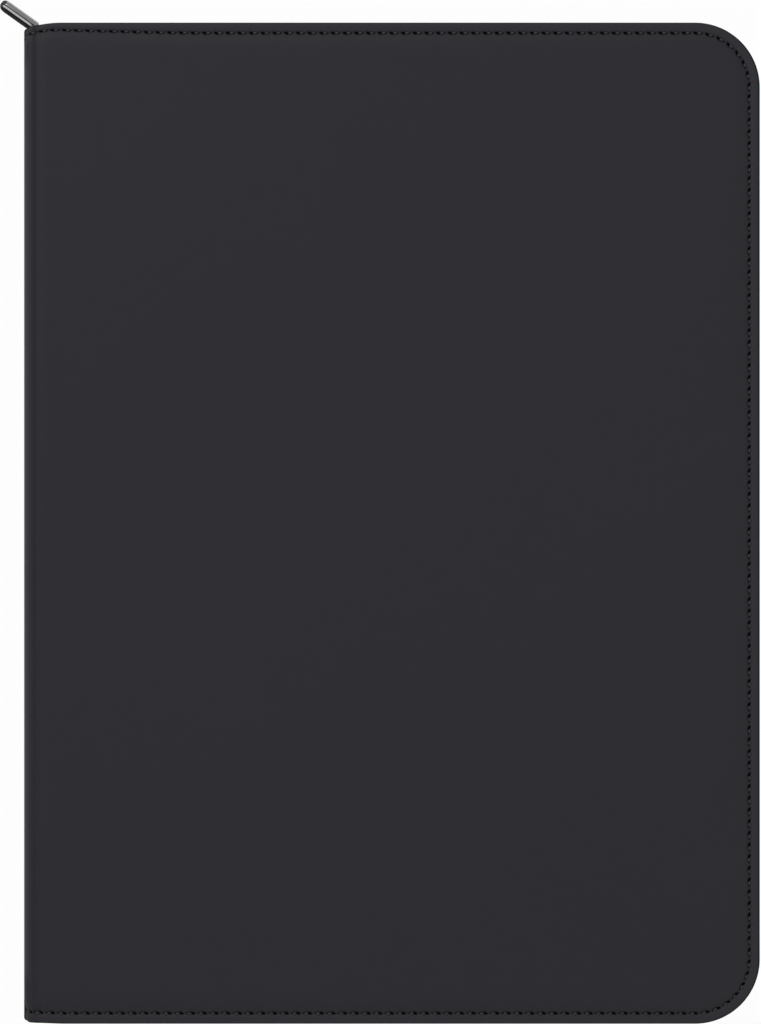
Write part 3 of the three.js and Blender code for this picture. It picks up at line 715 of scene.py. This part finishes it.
def cover_shell(name):
    """Skin and fold strip of the front cover as one sheet with a sunk, stitched rim."""
    inset_line = sizes().stitch_inset
    total = rim_length(inset_line)
    stitches = round(total / sizes().stitch_pitch)
    pitch = total / stitches
    count = stitches * COLUMNS_PER_STITCH + 1
    rows = len(RIM_SECTION)
    vertices = []
    tones = []
    edges = []
    for i in range(count):
        s = total * i / (count - 1)
        edge, inward, normal, _ = rim_frame(s, inset_line)
        edges.append(edge)
        for inset, depth in RIM_SECTION:
            on_face = depth < FACE_DEPTH
            hole = needle_hole(s, inset * MM, pitch) if on_face else 0.0
            dip = depth * MM + HOLE_DEPTH * hole
            dip += groove(edge.x) if on_face else 0.0
            # The skin's painted shade and painted highlights, kept for each vertex
            tones.append(painted_light_tone(inset, hole, inward))
            width = rim_width(edge, inward) if on_face else 1.0
            vertices.append(edge + inward * inset * width * MM - normal * dip)
    faces = []
    for i in range(count - 1):
        for j in range(rows - 1):
            a = i * rows + j
            faces.append((a, a + 1, a + rows + 1, a + rows))
    last = rows - 1
    strip = [i for i, edge in enumerate(edges) if edge.y > 0 and edge.x <= FOLD_X + GUTTER]
    previous = None
    for i in strip:
        top, bottom = i * rows + last, (count - 1 - i) * rows + last
        start, end = vertices[top], vertices[bottom]
        line = [top]
        for k in range(1, GUTTER_ROWS):
            line.append(len(vertices))
            vertices.append(start.lerp(end, k / GUTTER_ROWS))
        line.append(bottom)
        if previous:
            for k in range(GUTTER_ROWS):
                faces.append((previous[k], previous[k + 1], line[k + 1], line[k]))
        previous = line
    panel = previous[1:-1]
    ring = [i * rows + last for i in range(strip[-1], count - strip[-1])]
    faces.append(tuple(ring + panel[::-1]))
    piece = mesh_piece(name, vertices, faces)
    # Painted light as a vertex attribute: the rim's painted shade and highlights, then the painted
    # highlight over the fold on the strip's added vertices
    tone = piece.data.attributes.new("painted_light_tone", "FLOAT", "POINT")
    tone.data.foreach_set("value", tones + [fold_highlight(v.x) for v in vertices[len(tones) :]])
    make_active(piece)
    bpy.ops.object.mode_set(mode="EDIT")
    bpy.ops.mesh.select_all(action="SELECT")
    bpy.ops.mesh.normals_make_consistent(inside=False)
    bpy.ops.object.mode_set(mode="OBJECT")
    if piece.data.polygons[-1].normal.z < 0:
        piece.data.flip_normals()
    add_modifier(piece, "SOLIDIFY", thickness=SKIN_THICKNESS, offset=-1)
    return piece


def stitch_template(share):
    """A stitch of thread that covers this share of the pitch and dives into its holes."""
    width = sizes().thread_width
    reach = sizes().stitch_pitch * share
    deselect_all()
    bpy.ops.mesh.primitive_uv_sphere_add(segments=8, ring_count=8, radius=0.5)
    template = bpy.context.object
    template.rotation_euler = (0, math.pi / 2, 0)
    settle(template)
    for vertex in template.data.vertices:
        along = vertex.co.x * 2
        vertex.co.x = math.copysign(abs(along) ** 0.8, along) * reach / 2
        vertex.co.y *= width
        vertex.co.z = vertex.co.z * width - STITCH_DIVE * abs(along) ** 3
    return template


def stitch_row(name, inset_depth, turn, share):
    """Stitches along the front rim, at a depth below the panel. turn is 1 outside and -1 inside."""
    inset = sizes().stitch_inset
    total = rim_length(inset)
    count = round(total / sizes().stitch_pitch)
    places = []
    for i in range(count):
        middle = (i + THREAD_MIDDLE) * total / count
        edge, inward, normal, ahead = rim_frame(middle, inset)
        width = rim_width(edge, inward) if turn > 0 else 1.0
        at = edge + inward * inset * width - normal * inset_depth
        up = normal * turn
        side = up.cross(ahead)
        basis = Matrix((ahead, side, up)).transposed().to_4x4()
        slant = Matrix.Rotation(sizes().stitch_slant * turn, 4, "Z")
        places.append(Matrix.Translation(at) @ basis @ slant)
    return scatter(name, stitch_template(share), places)


def blend_to_spine(piece):
    """Puts the piece's place into its mesh, so its object sits at the origin."""
    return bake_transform(piece)


# Inside pieces are drawn for the back cover, z running inwards from its outside face, and are
# mirrored in the case's thickness where they sit on the front cover.


def inside_piece(piece, side, material, body, angle=40):
    if side == "front":
        mirrored_in_thickness(piece)
    return finish_piece(piece, material, body, angle)


def round_sweep(name, section, left, line_inset, step):
    """An open sheet whose section (inset, z) follows the three zipped sides from X left."""
    total = round_length(line_inset, left)
    count = round(total / step)
    vertices = []
    for i in range(count + 1):
        point, inward, _ = round_path(total * i / count, line_inset, left)
        for inset, z in section:
            vertices.append(point + inward * (inset - line_inset) + Vector((0, 0, z)))
    rows = len(section)
    faces = []
    for i in range(count):
        for j in range(rows - 1):
            a = i * rows + j
            faces.append((a, a + rows, a + rows + 1, a + 1))
    return mesh_piece(name, vertices, faces)


def corner_cut(distance, radius):
    """How far a rounded corner draws a side in, at that distance from the corner's end."""
    if distance >= radius:
        return 0.0
    return radius - math.sqrt(radius * radius - (radius - distance) ** 2)


def smoothstep(value):
    t = min(1.0, max(0.0, value))
    return t * t * (3 - 2 * t)


class Pocket:
    """A cloth panel sewn down on three sides, with a hemmed mouth at its top."""

    # Depth and lengths of the cloth's slow waves, and the hem's rise and the width of its edge
    SLACK = 0.06 * MM
    WAVE_X = 17 * MM
    WAVE_Y = 23 * MM
    HEM_RISE = 0.12 * MM
    HEM_EDGE = 0.8 * MM
    # The seams stop this far from the mouth and from the hem's end, and their thread lies this high
    SEAM_END = 1 * MM
    THREAD_LIFT = 0.05 * MM

    def __init__(self, left, right, bottom, top, low, lift, thickness, corner, rise, hem, notch):
        self.left, self.right, self.bottom, self.top = left, right, bottom, top
        self.low, self.lift, self.thickness = low, lift, thickness
        self.corner, self.rise, self.hem, self.notch = corner, rise, hem, notch

    def mouth(self, x):
        """Height of the mouth's edge at x, lower inside a thumb notch."""
        half, depth = self.notch
        if not half:
            return self.top
        middle = (self.left + self.right) / 2
        return self.top - depth * smoothstep(1.5 * (1 - abs(x - middle) / half))

    def height(self, x, y):
        """Outer surface of the panel over x, y."""
        side = min(x - self.left, self.right - x, y - self.bottom)
        puff = smoothstep(side / self.rise)
        band = smoothstep((y - self.mouth(x) + self.hem) / self.HEM_EDGE)
        slack = self.SLACK * math.sin(x / self.WAVE_X) * math.sin(y / self.WAVE_Y + 1.3)
        rise = self.lift * puff + min(slack, 0.0) * puff
        return self.low + self.thickness + rise + self.HEM_RISE * band

    def panel(self, name, columns=56, rows=64):
        """The cloth itself, with rounded corners."""
        vertices = []
        faces = []
        for j in range(rows + 1):
            share = j / rows
            y_flat = self.bottom + share * (self.top - self.bottom)
            near = min(y_flat - self.bottom, self.top - y_flat)
            cut = corner_cut(near, self.corner)
            for i in range(columns + 1):
                x = self.left + cut + (self.right - self.left - 2 * cut) * i / columns
                y = self.bottom + share * (self.mouth(x) - self.bottom)
                vertices.append((x, y, self.height(x, y)))
        for j in range(rows):
            for i in range(columns):
                a = j * (columns + 1) + i
                faces.append((a, a + 1, a + columns + 2, a + columns + 1))
        piece = mesh_piece(name, vertices, faces)
        add_modifier(piece, "SOLIDIFY", thickness=self.thickness, offset=-1)
        return piece

    def seam(self, name, inset, pitch):
        """Stitches down the left side, along the bottom, up the right side and along the hem."""
        left, right, bottom = self.left + inset, self.right - inset, self.bottom + inset
        bend = max(self.corner - inset, 1 * MM)
        line = [(left, self.top - self.SEAM_END)]
        for centre_x, start in ((left + bend, math.pi), (right - bend, 1.5 * math.pi)):
            for k in range(9):
                angle = start + k * math.pi / 16
                y = bottom + bend + bend * math.sin(angle)
                line.append((centre_x + bend * math.cos(angle), y))
        line.append((right, self.top - self.SEAM_END))
        hem_y = self.hem - self.SEAM_END
        span = self.right - self.left - 2 * inset
        mouth = [self.left + inset + span * k / 40 for k in range(41)]
        hem_line = [(x, self.mouth(x) - hem_y) for x in mouth]
        places = self.stitches(line, pitch) + self.stitches(hem_line, pitch)
        return scatter(name, stitch_template(FULL_STITCH), places)

    def stitches(self, line, pitch):
        """Places of stitches at that pitch along a line, on the panel's surface."""
        places = []
        carry = pitch / 2
        for (x0, y0), (x1, y1) in zip(line, line[1:]):
            length = math.hypot(x1 - x0, y1 - y0)
            while carry < length:
                x = x0 + (x1 - x0) * carry / length
                y = y0 + (y1 - y0) * carry / length
                at = Matrix.Translation((x, y, self.height(x, y) + self.THREAD_LIFT))
                turn = Matrix.Rotation(math.atan2(y1 - y0, x1 - x0), 4, "Z")
                places.append(at @ turn @ Matrix.Scale(pitch / sizes().stitch_pitch, 4))
                carry += pitch
            carry -= length
        return places


def pocket_of(node, side, lift, thickness, corner, rise, hem, notch=(0, 0)):
    """The pocket that fills a CAD node's box, in inward heights."""
    low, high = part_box(node)
    base = low.z if side == "back" else THICK - high.z
    return Pocket(
        low.x, high.x, low.y, high.y, base, lift, thickness, corner, rise, hem, notch
    )


class OBJECT_OT_organizer_covers(bpy.types.Operator):
    """Makes the skin of both covers with its fold strips and stitched rims"""

    bl_idname = "object.organizer_covers"
    bl_label = "Covers"

    def execute(self, context):
        skin = skin_material()
        thread = thread_material()
        for side in ("front", "back"):
            shell = cover_shell(f"{side}_shell")
            outer = stitch_row(f"{side}_rim_stitches", OUTSIDE_DEPTH, 1, SUNK_STITCH)
            inner_depth = WALL_DEPTH + INSIDE_DEPTH
            inner = stitch_row(f"{side}_rim_stitches_inside", inner_depth, -1, FULL_STITCH)
            for piece, material in ((shell, skin), (outer, thread), (inner, thread)):
                if side == "back":
                    mirrored_in_thickness(piece)
                finish_piece(piece, material, None, 50)
                blend_to_spine(piece)
            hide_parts(f"{side}_cover_skin", f"spine_fold_{side}")
        return {"FINISHED"}


class OBJECT_OT_organizer_spine(bpy.types.Operator):
    """Makes the skin of the spine wall, turned in all round its board"""

    bl_idname = "object.organizer_spine"
    bl_label = "Spine"

    # How far the skin turns in round the board, and the rounding of its two upright corners
    TURN_IN = 2.1 * MM
    ROUNDING = 1.2 * MM

    def execute(self, context):
        depth = self.TURN_IN
        length = SPINE_HIGH.y - SPINE_LOW.y
        height = SPINE_HIGH.z - SPINE_LOW.z
        centre = Vector((SPINE_X + depth / 2, (SPINE_LOW.y + SPINE_HIGH.y) / 2, THICK / 2))
        deselect_all()
        bpy.ops.mesh.primitive_cube_add(size=1, location=centre)
        piece = bpy.context.object
        piece.name = "spine_wall"
        piece.scale = (depth, length, height)
        settle(piece)
        shape = bmesh.new()
        shape.from_mesh(piece.data)
        inside = [f for f in shape.faces if f.normal.x > 0.5]
        bmesh.ops.delete(shape, geom=inside, context="FACES")
        upright = [e for e in shape.edges if abs(e.verts[0].co.z - e.verts[1].co.z) > depth]
        corners = [e for e in upright if e.is_manifold]
        bmesh.ops.bevel(
            shape, geom=corners, offset=self.ROUNDING, segments=6, profile=0.5, affect="EDGES"
        )
        shape.to_mesh(piece.data)
        shape.free()
        add_modifier(piece, "SOLIDIFY", thickness=SKIN_THICKNESS, offset=-1)
        finish_piece(piece, skin_material(), "spine", 50)
        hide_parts("spine_skin")
        return {"FINISHED"}


class OBJECT_OT_organizer_linings(bpy.types.Operator):
    """Makes the woven linings of both covers, with the strips that turn to the spine"""

    bl_idname = "object.organizer_linings"
    bl_label = "Linings"

    # X and height of the strip's columns from the cover to the spine, in millimetres
    TURN = [(-118, 3.2), (-119.5, 3.2), (-120.6, 3.3), (-121.5, 3.65), (-122, 4.2), (-122.3, 5.0)]
    TURN_END = (-122.3, 6.5)
    THICKNESS = 0.35 * MM
    # What the strip adds to the cloth's width, and how much longer the spine's lining is
    STRIP_WIDTH = 4 * MM
    SPINE_EXTRA = 10 * MM

    def execute(self, context):
        material = lining_material()
        inset = RIGHT - LINING_HIGH.x
        for side in ("back", "front"):
            piece = self.lining(f"{side}_lining_cloth", inset)
            add_modifier(piece, "SOLIDIFY", thickness=self.THICKNESS, offset=-1)
            inside_piece(piece, side, material, None)
            blend_to_spine(piece)
            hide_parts(f"{side}_lining")
        wall = cad_copy("spine_lining_cloth", "spine_lining", 0.1 * MM, 2)
        finish_piece(wall, material, "spine")
        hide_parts("spine_lining")
        return {"FINISHED"}

    def lining(self, name, inset):
        """The cover's lining, a round sheet that ends in the strip to the spine."""
        left = self.TURN[0][0] * MM
        total = round_length(inset, left)
        count = 120
        ring = []
        for i in range(count + 1):
            point, _, _ = round_path(total * i / count, inset, left)
            ring.append(point + Vector((0, 0, LINING_HIGH.z)))
        faces = [tuple(range(count, -1, -1))]
        vertices = list(ring)
        top, bottom = 0, count
        for x, z in self.TURN[1:] + [self.TURN_END]:
            vertices.append(Vector((x * MM, ring[0].y, z * MM)))
            vertices.append(Vector((x * MM, ring[-1].y, z * MM)))
            new_top, new_bottom = len(vertices) - 2, len(vertices) - 1
            faces.append((new_top, new_bottom, bottom, top))
            top, bottom = new_top, new_bottom
        return mesh_piece(name, vertices, faces)


class OBJECT_OT_organizer_pockets(bpy.types.Operator):
    """Makes the sewn pockets inside both covers"""

    bl_idname = "object.organizer_pockets"
    bl_label = "Pockets"

    SEAM_INSET = 1.6 * MM
    SEAM_PITCH = 3.2 * MM

    def execute(self, context):
        lining = lining_material()
        skin = pocket_material()
        thread = thread_material()
        plain = {"thickness": 0.4 * MM, "corner": 3 * MM, "rise": 4 * MM, "hem": 5 * MM}
        flat = {**plain, "lift": 0.0, "thickness": 0.36 * MM}
        notch = (30 * MM, 12 * MM)
        room = {**plain, "corner": 9 * MM}
        pockets = [
            ("document_pocket", "front", lining, {**room, "lift": 0.5 * MM, "notch": notch}),
            ("phone_pocket", "front", lining, {**room, "lift": 1.9 * MM, "rise": 9 * MM}),
            ("card_panel", "front", lining, {**flat, "corner": 6 * MM}),
            ("pad_pocket", "back", lining, {**plain, "lift": 2.0 * MM, "rise": 3 * MM}),
        ]
        pockets += [(f"card_pocket_{i}", "front", skin, flat) for i in (1, 2, 3, 4)]
        for node, side, material, shape in pockets:
            pocket = pocket_of(node, side, **shape)
            cloth = pocket.panel(f"{node}_cloth")
            seam = pocket.seam(f"{node}_stitches", self.SEAM_INSET, self.SEAM_PITCH)
            inside_piece(cloth, side, material, f"{side}_cover")
            inside_piece(seam, side, thread, f"{side}_cover")
            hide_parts(node)
        return {"FINISHED"}


class OBJECT_OT_organizer_zip(bpy.types.Operator):
    """Makes the zip's tapes, which stand up from the rims, and its moulded teeth"""

    bl_idname = "object.organizer_zip"
    bl_label = "Zip"

    # Inset and height of the tape's middle line, from its sewn edge to the teeth, in millimetres
    SECTION = [
        (1.2, 3.1),
        (2.4, 3.12),
        (3.6, 3.06),
        (4.8, 3.1),
        (5.8, 3.12),
        (6.4, 3.3),
        (6.8, 3.75),
        (6.98, 4.5),
        (7.04, 5.6),
        (7.04, 6.8),
        (7.0, 8.0),
        (7.0, 9.3),
    ]
    TAPE_THICKNESS = 0.55 * MM
    # Inset of the teeth, and of the tape's middle, along which its length is measured
    TEETH_INSET = 7 * MM
    MIDDLE_INSET = 5 * MM
    STEP = 3 * MM

    def execute(self, context):
        tape = tape_material()
        plastic = plastic_material()
        section = [(inset * MM, z * MM) for inset, z in self.SECTION]
        for side in ("back", "front"):
            name = f"{side}_tape"
            ribbon = round_sweep(name, section, TAPE_LOW.x, self.TEETH_INSET, self.STEP)
            add_modifier(ribbon, "SOLIDIFY", thickness=self.TAPE_THICKNESS, offset=0)
            inside_piece(ribbon, side, tape, f"{side}_cover")
            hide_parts(f"zip_tape_{side}")
            teeth = cad_copy(f"{side}_teeth", f"zip_teeth_{side}", 0.16 * MM, 2)
            finish_piece(teeth, plastic, f"{side}_cover", 35)
            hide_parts(f"zip_teeth_{side}")
        return {"FINISHED"}


class OBJECT_OT_organizer_pen_loop(bpy.types.Operator):
    """Makes the elastic pen loop with its two sewn tabs"""

    bl_idname = "object.organizer_pen_loop"
    bl_label = "Pen loop"

    # The loop's middle radius, the heights of its centre and its tabs, and the elastic's thickness
    RADIUS = 5.65 * MM
    CENTRE = 9.3 * MM
    FOOT = 3.65 * MM
    THICKNESS = 0.85 * MM
    # The round part runs between these angles, in degrees
    ROUND_START = 238
    ROUND_TURN = 296
    # The tabs lie flat up to TAB_END from the middle, and rise by TAB_RISE up to TAB_RISE_AT
    TAB_END = 5.4 * MM
    TAB_RISE_AT = 4.2 * MM
    TAB_RISE = 0.25 * MM

    def execute(self, context):
        low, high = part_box("pen_loop")
        middle = (low.x + high.x) / 2
        foot = self.FOOT
        raised = foot + self.TAB_RISE
        line = [(low.x, foot), (middle - self.TAB_END, foot), (middle - self.TAB_RISE_AT, raised)]
        steps = 40
        for k in range(steps + 1):
            angle = math.radians(self.ROUND_START - k * self.ROUND_TURN / steps)
            x = middle + self.RADIUS * math.cos(angle)
            line.append((x, self.CENTRE + self.RADIUS * math.sin(angle)))
        line += [(middle + self.TAB_RISE_AT, raised), (middle + self.TAB_END, foot), (high.x, foot)]
        rows = 12
        vertices = []
        for j in range(rows + 1):
            y = low.y + (high.y - low.y) * j / rows
            vertices += [(x, y, z) for x, z in line]
        count = len(line)
        faces = []
        for j in range(rows):
            for i in range(count - 1):
                a = j * count + i
                faces.append((a, a + count, a + count + 1, a + 1))
        loop = mesh_piece("pen_loop_elastic", vertices, faces)
        loop.data.flip_normals()
        add_modifier(loop, "SOLIDIFY", thickness=self.THICKNESS, offset=0)
        inside_piece(loop, "front", elastic_material(), "front_cover")
        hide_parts("pen_loop")
        return {"FINISHED"}


class OBJECT_OT_organizer_pad(bpy.types.Operator):
    """Makes the writing pad: ruled sheets in a bound stack on a grey board"""

    bl_idname = "object.organizer_pad"
    bl_label = "Writing pad"

    # Above the pocket the sheets sag onto the board: gap to the pocket, reach and depth of the sag
    SAG_GAP = 0.3 * MM
    SAG_REACH = 10 * MM
    SAG = 1.1 * MM
    # The stack is drawn as this many layers. Each fills this share of its depth, is shifted by up
    # to so many millimetres, and is drawn in this far at both sides.
    LAYERS = 16
    FILL = 0.94
    SHIFT_X = 0.12
    SHIFT_Y = 0.25
    SIDE_GAP = 0.15 * MM

    def execute(self, context):
        low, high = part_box("notepad_sheets")
        sag_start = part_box("pad_pocket")[1].y + self.SAG_GAP
        sag_end = sag_start + self.SAG_REACH
        drop = self.SAG
        depth = (high.z - low.z - drop) / self.LAYERS
        chance = random.Random(11)
        vertices = []
        faces = []
        steps = [low.y] + [sag_start + (sag_end - sag_start) * k / 8 for k in range(9)] + [high.y]
        for k in range(self.LAYERS):
            shift_x = chance.uniform(-self.SHIFT_X, self.SHIFT_X) * MM
            shift_y = chance.uniform(0, self.SHIFT_Y) * MM
            start = len(vertices)
            for y in steps:
                sunk = drop * smoothstep((y - sag_start) / (sag_end - sag_start))
                base = low.z + drop - sunk + k * depth
                at_y = y + shift_y if y == low.y else y
                for z in (base, base + depth * self.FILL):
                    vertices.append((low.x + self.SIDE_GAP + shift_x, at_y, z))
                    vertices.append((high.x - self.SIDE_GAP + shift_x, at_y, z))
            last = 4 * (len(steps) - 1)
            faces.append(tuple(start + i for i in (0, 1, 3, 2)))
            faces.append(tuple(start + last + i for i in (1, 0, 2, 3)))
            for i in range(len(steps) - 1):
                a = start + 4 * i
                faces.append((a + 2, a + 3, a + 7, a + 6))
                faces.append((a + 1, a, a + 4, a + 5))
                faces.append((a, a + 2, a + 6, a + 4))
                faces.append((a + 3, a + 1, a + 5, a + 7))
        sheets = mesh_piece("pad_sheets", vertices, faces)
        finish_piece(sheets, paper_material(), "notepad", 30)
        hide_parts("notepad_sheets")
        board = cad_copy("pad_board", "notepad_backing", 0.2 * MM, 2)
        finish_piece(board, board_material(), "notepad")
        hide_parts("notepad_backing")
        binding = cad_copy("pad_binding_strip", "notepad_binding", 0.25 * MM, 3)
        finish_piece(binding, binding_material(), "notepad")
        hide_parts("notepad_binding")
        return {"FINISHED"}


# The middle of the slider's arch, in from the slider's left end and from its outer face
ARCH_FROM_END = 3.9 * MM
ARCH_FROM_FACE = 2.5 * MM


def puller_pivot():
    """The puller turns about the middle of the slider's arch."""
    low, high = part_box("zip_slider")
    return Vector((low.x + ARCH_FROM_END, high.y - ARCH_FROM_FACE, THICK / 2))


class OBJECT_OT_organizer_metal(bpy.types.Operator):
    """Makes the zip's slider and puller with their rounded edges"""

    bl_idname = "object.organizer_metal"
    bl_label = "Slider and puller"

    # The bar starts at these distances from the pivot, for the groove and for the painted reflections
    GROOVE_START = 4.4 * MM
    BAR_START = 4.2 * MM
    # Faces smaller than this, in square millimetres, belong to the rounded edges
    SLIVER = 0.3
    # Width and depth in millimetres of each inset that makes the groove
    GROOVE_STEPS = [(0.04, 0), (0.14, -0.08), (0.14, 0.08)]
    # Values of the attribute that paints the bar's reflections into its colour: a dark reflection as
    # plain black, and a painted highlight on the chamfers
    DARK_REFLECTION = -1.0
    TIP = -0.7
    SATIN = -0.12
    PLAIN = 0.0
    PAINTED_HIGHLIGHT = 0.9

    def execute(self, context):
        metal = metal_material()
        slider = cad_copy("slider_body", "zip_slider", 0.22 * MM)
        finish_piece(slider, metal, "zip_slider", 35)
        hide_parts("zip_slider")
        puller = cad_copy("puller_bar", "zip_puller", 0.07 * MM, 2, 35)
        self.groove_edges(puller)
        self.paint_reflections(puller)
        finish_piece(puller, metal, "zip_puller", 35)
        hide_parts("zip_puller")
        return {"FINISHED"}

    def groove_edges(self, puller):
        """Cuts a fine groove along the bar's narrow edge, beside each chamfer."""
        shape = bmesh.new()
        shape.from_mesh(puller.data)
        base = puller_pivot() + PULLER_ALONG * self.GROOVE_START
        band = [
            face
            for face in shape.faces
            if abs(face.normal.dot(PULLER_FACE)) < 0.2
            and (face.calc_center_median() - base).dot(PULLER_ALONG) > 0
            and face.calc_area() > self.SLIVER * MM * MM
        ]
        for width, depth in self.GROOVE_STEPS:
            bmesh.ops.inset_region(
                shape, faces=band, thickness=width * MM, depth=depth * MM, use_even_offset=True
            )
        shape.to_mesh(puller.data)
        shape.free()

    def paint_reflections(self, puller):
        """Paints a dark reflection, plain black, on the broad faces and the upper groove, and a
        highlight on the chamfers.
        """
        painted_reflection = puller.data.attributes.new("painted_reflection", "FLOAT", "FACE")
        base = puller_pivot() + PULLER_ALONG * self.BAR_START
        for face, value in zip(puller.data.polygons, painted_reflection.data):
            facing = abs(face.normal.dot(PULLER_FACE))
            place = face.center - base
            is_upper = place.dot(PULLER_FACE) > 0
            if place.dot(PULLER_ALONG) < 0:
                value.value = self.PLAIN
            elif facing > 0.9 or (0.2 < facing < 0.6 and is_upper):
                value.value = self.DARK_REFLECTION
            elif face.normal.dot(PULLER_ALONG) > 0.3:
                value.value = self.TIP
            elif facing >= 0.6:
                value.value = self.PAINTED_HIGHLIGHT
            else:
                value.value = self.SATIN


class OBJECT_OT_organizer_layers(bpy.types.Operator):
    """Gives the CAD model's hidden boards and foam their finishes"""

    bl_idname = "object.organizer_layers"
    bl_label = "Layers"

    def execute(self, context):
        finishes = [
            (board_material(), ["front_board", "back_board", "spine_board"]),
            (foam_material(), ["front_foam", "back_foam"]),
        ]
        for material, names in finishes:
            for name in names:
                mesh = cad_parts[name].data
                mesh.materials.clear()
                mesh.materials.append(material)
        return {"FINISHED"}


class OBJECT_OT_organizer_stage(bpy.types.Operator):
    """Sets up the pale floor, the studio light and the camera over the case"""

    bl_idname = "object.organizer_stage"
    bl_label = "Stage"

    FLOOR_GAP = 0.05 * MM
    # The camera stands off the case's middle, as the case lies off the picture's middle
    CAMERA_X = -3.8 * MM
    CAMERA_Y = 3.8 * MM

    def execute(self, context):
        deselect_all()
        bpy.ops.mesh.primitive_plane_add(size=6, location=(0, 0, -self.FLOOR_GAP))
        floor = bpy.context.object
        floor.name = "floor"
        floor.data.materials.append(floor_material())
        set_world()
        add_area_light("key_light", place=(-0.8, 1.0, 1.15), size=1.1, power=11.5)
        add_area_light("fill_light", place=(1.0, -0.6, 1.2), size=1.4, power=2.2)
        camera_data = bpy.data.cameras.new("camera")
        camera_data.lens = 135
        camera_data.sensor_width = 36
        camera_data.sensor_fit = "AUTO"
        camera_data.clip_end = 20
        camera = bpy.data.objects.new("camera", camera_data)
        bpy.context.scene.collection.objects.link(camera)
        camera.location = (self.CAMERA_X, self.CAMERA_Y, THICK + sizes().camera_height)
        context.scene.camera = camera
        context.scene.view_settings.view_transform = "Standard"
        return {"FINISHED"}


def floor_material():
    """White paper floor: mostly white to the camera and to reflections, but it keeps the shadow."""
    material = bpy.data.materials.new("white_floor")
    material.use_nodes = True
    tree = material.node_tree
    tree.nodes.clear()
    output = tree.nodes.new("ShaderNodeOutputMaterial")
    diffuse = tree.nodes.new("ShaderNodeBsdfDiffuse")
    diffuse.inputs["Color"].default_value = (0.9, 0.9, 0.9, 1)
    glow = tree.nodes.new("ShaderNodeEmission")
    mix = tree.nodes.new("ShaderNodeMixShader")
    seen = seen_ray(tree)
    whiteness = 0.97
    share = blend_values(tree, "MULTIPLY", seen, whiteness)
    tree.links.new(share, mix.inputs["Fac"])
    tree.links.new(diffuse.outputs[0], mix.inputs[1])
    tree.links.new(glow.outputs[0], mix.inputs[2])
    tree.links.new(mix.outputs[0], output.inputs["Surface"])
    return material


def seen_ray(tree):
    """One for camera, glossy and transmission rays."""
    path = tree.nodes.new("ShaderNodeLightPath")
    first = blend_values(
        tree, "MAXIMUM", path.outputs["Is Camera Ray"], path.outputs["Is Glossy Ray"]
    )
    return blend_values(tree, "MAXIMUM", first, path.outputs["Is Transmission Ray"])


def set_world():
    """White surroundings, which light the case less than they show."""
    world = bpy.data.worlds.new("studio")
    bpy.context.scene.world = world
    world.use_nodes = True
    tree = world.node_tree
    background = tree.nodes["Background"]
    strength = spread(tree, seen_ray(tree), 0.36, 1.0)
    tree.links.new(strength, background.inputs["Strength"])
    background.inputs["Color"].default_value = (1, 1, 1, 1)


def add_area_light(name, place, size, power):
    data = bpy.data.lights.new(name, "AREA")
    data.size = size
    data.energy = power
    lamp = bpy.data.objects.new(name, data)
    bpy.context.scene.collection.objects.link(lamp)
    lamp.location = place
    lamp.rotation_euler = (-Vector(place)).to_track_quat("-Z", "Y").to_euler()


class VIEW3D_PT_organizer(bpy.types.Panel):
    bl_label = "Organizer"
    bl_idname = "VIEW3D_PT_organizer"
    bl_space_type = "VIEW_3D"
    bl_region_type = "UI"
    bl_category = "Organizer"

    def draw(self, context):
        for settings in (context.scene.organizer_sizes, context.scene.organizer_colours):
            for name in settings.__annotations__:
                self.layout.prop(settings, name)
        for operator in OPERATORS:
            self.layout.operator(operator.bl_idname)


OPERATORS = [
    OBJECT_OT_organizer_stage,
    OBJECT_OT_organizer_covers,
    OBJECT_OT_organizer_spine,
    OBJECT_OT_organizer_linings,
    OBJECT_OT_organizer_zip,
    OBJECT_OT_organizer_pockets,
    OBJECT_OT_organizer_pen_loop,
    OBJECT_OT_organizer_pad,
    OBJECT_OT_organizer_metal,
    OBJECT_OT_organizer_layers,
]
CLASSES = [OrganizerSizes, OrganizerColours, *OPERATORS, VIEW3D_PT_organizer]


def register():
    for cls in CLASSES:
        bpy.utils.register_class(cls)
    bpy.types.Scene.organizer_sizes = bpy.props.PointerProperty(type=OrganizerSizes)
    bpy.types.Scene.organizer_colours = bpy.props.PointerProperty(type=OrganizerColours)


def unregister():
    del bpy.types.Scene.organizer_colours
    del bpy.types.Scene.organizer_sizes
    for cls in reversed(CLASSES):
        bpy.utils.unregister_class(cls)


def main():
    register()
    bpy.ops.object.organizer_stage()
    bpy.ops.object.organizer_covers()
    bpy.ops.object.organizer_spine()
    bpy.ops.object.organizer_linings()
    bpy.ops.object.organizer_zip()
    bpy.ops.object.organizer_pockets()
    bpy.ops.object.organizer_pen_loop()
    bpy.ops.object.organizer_pad()
    bpy.ops.object.organizer_metal()
    bpy.ops.object.organizer_layers()


if __name__ == "__main__":
    main()
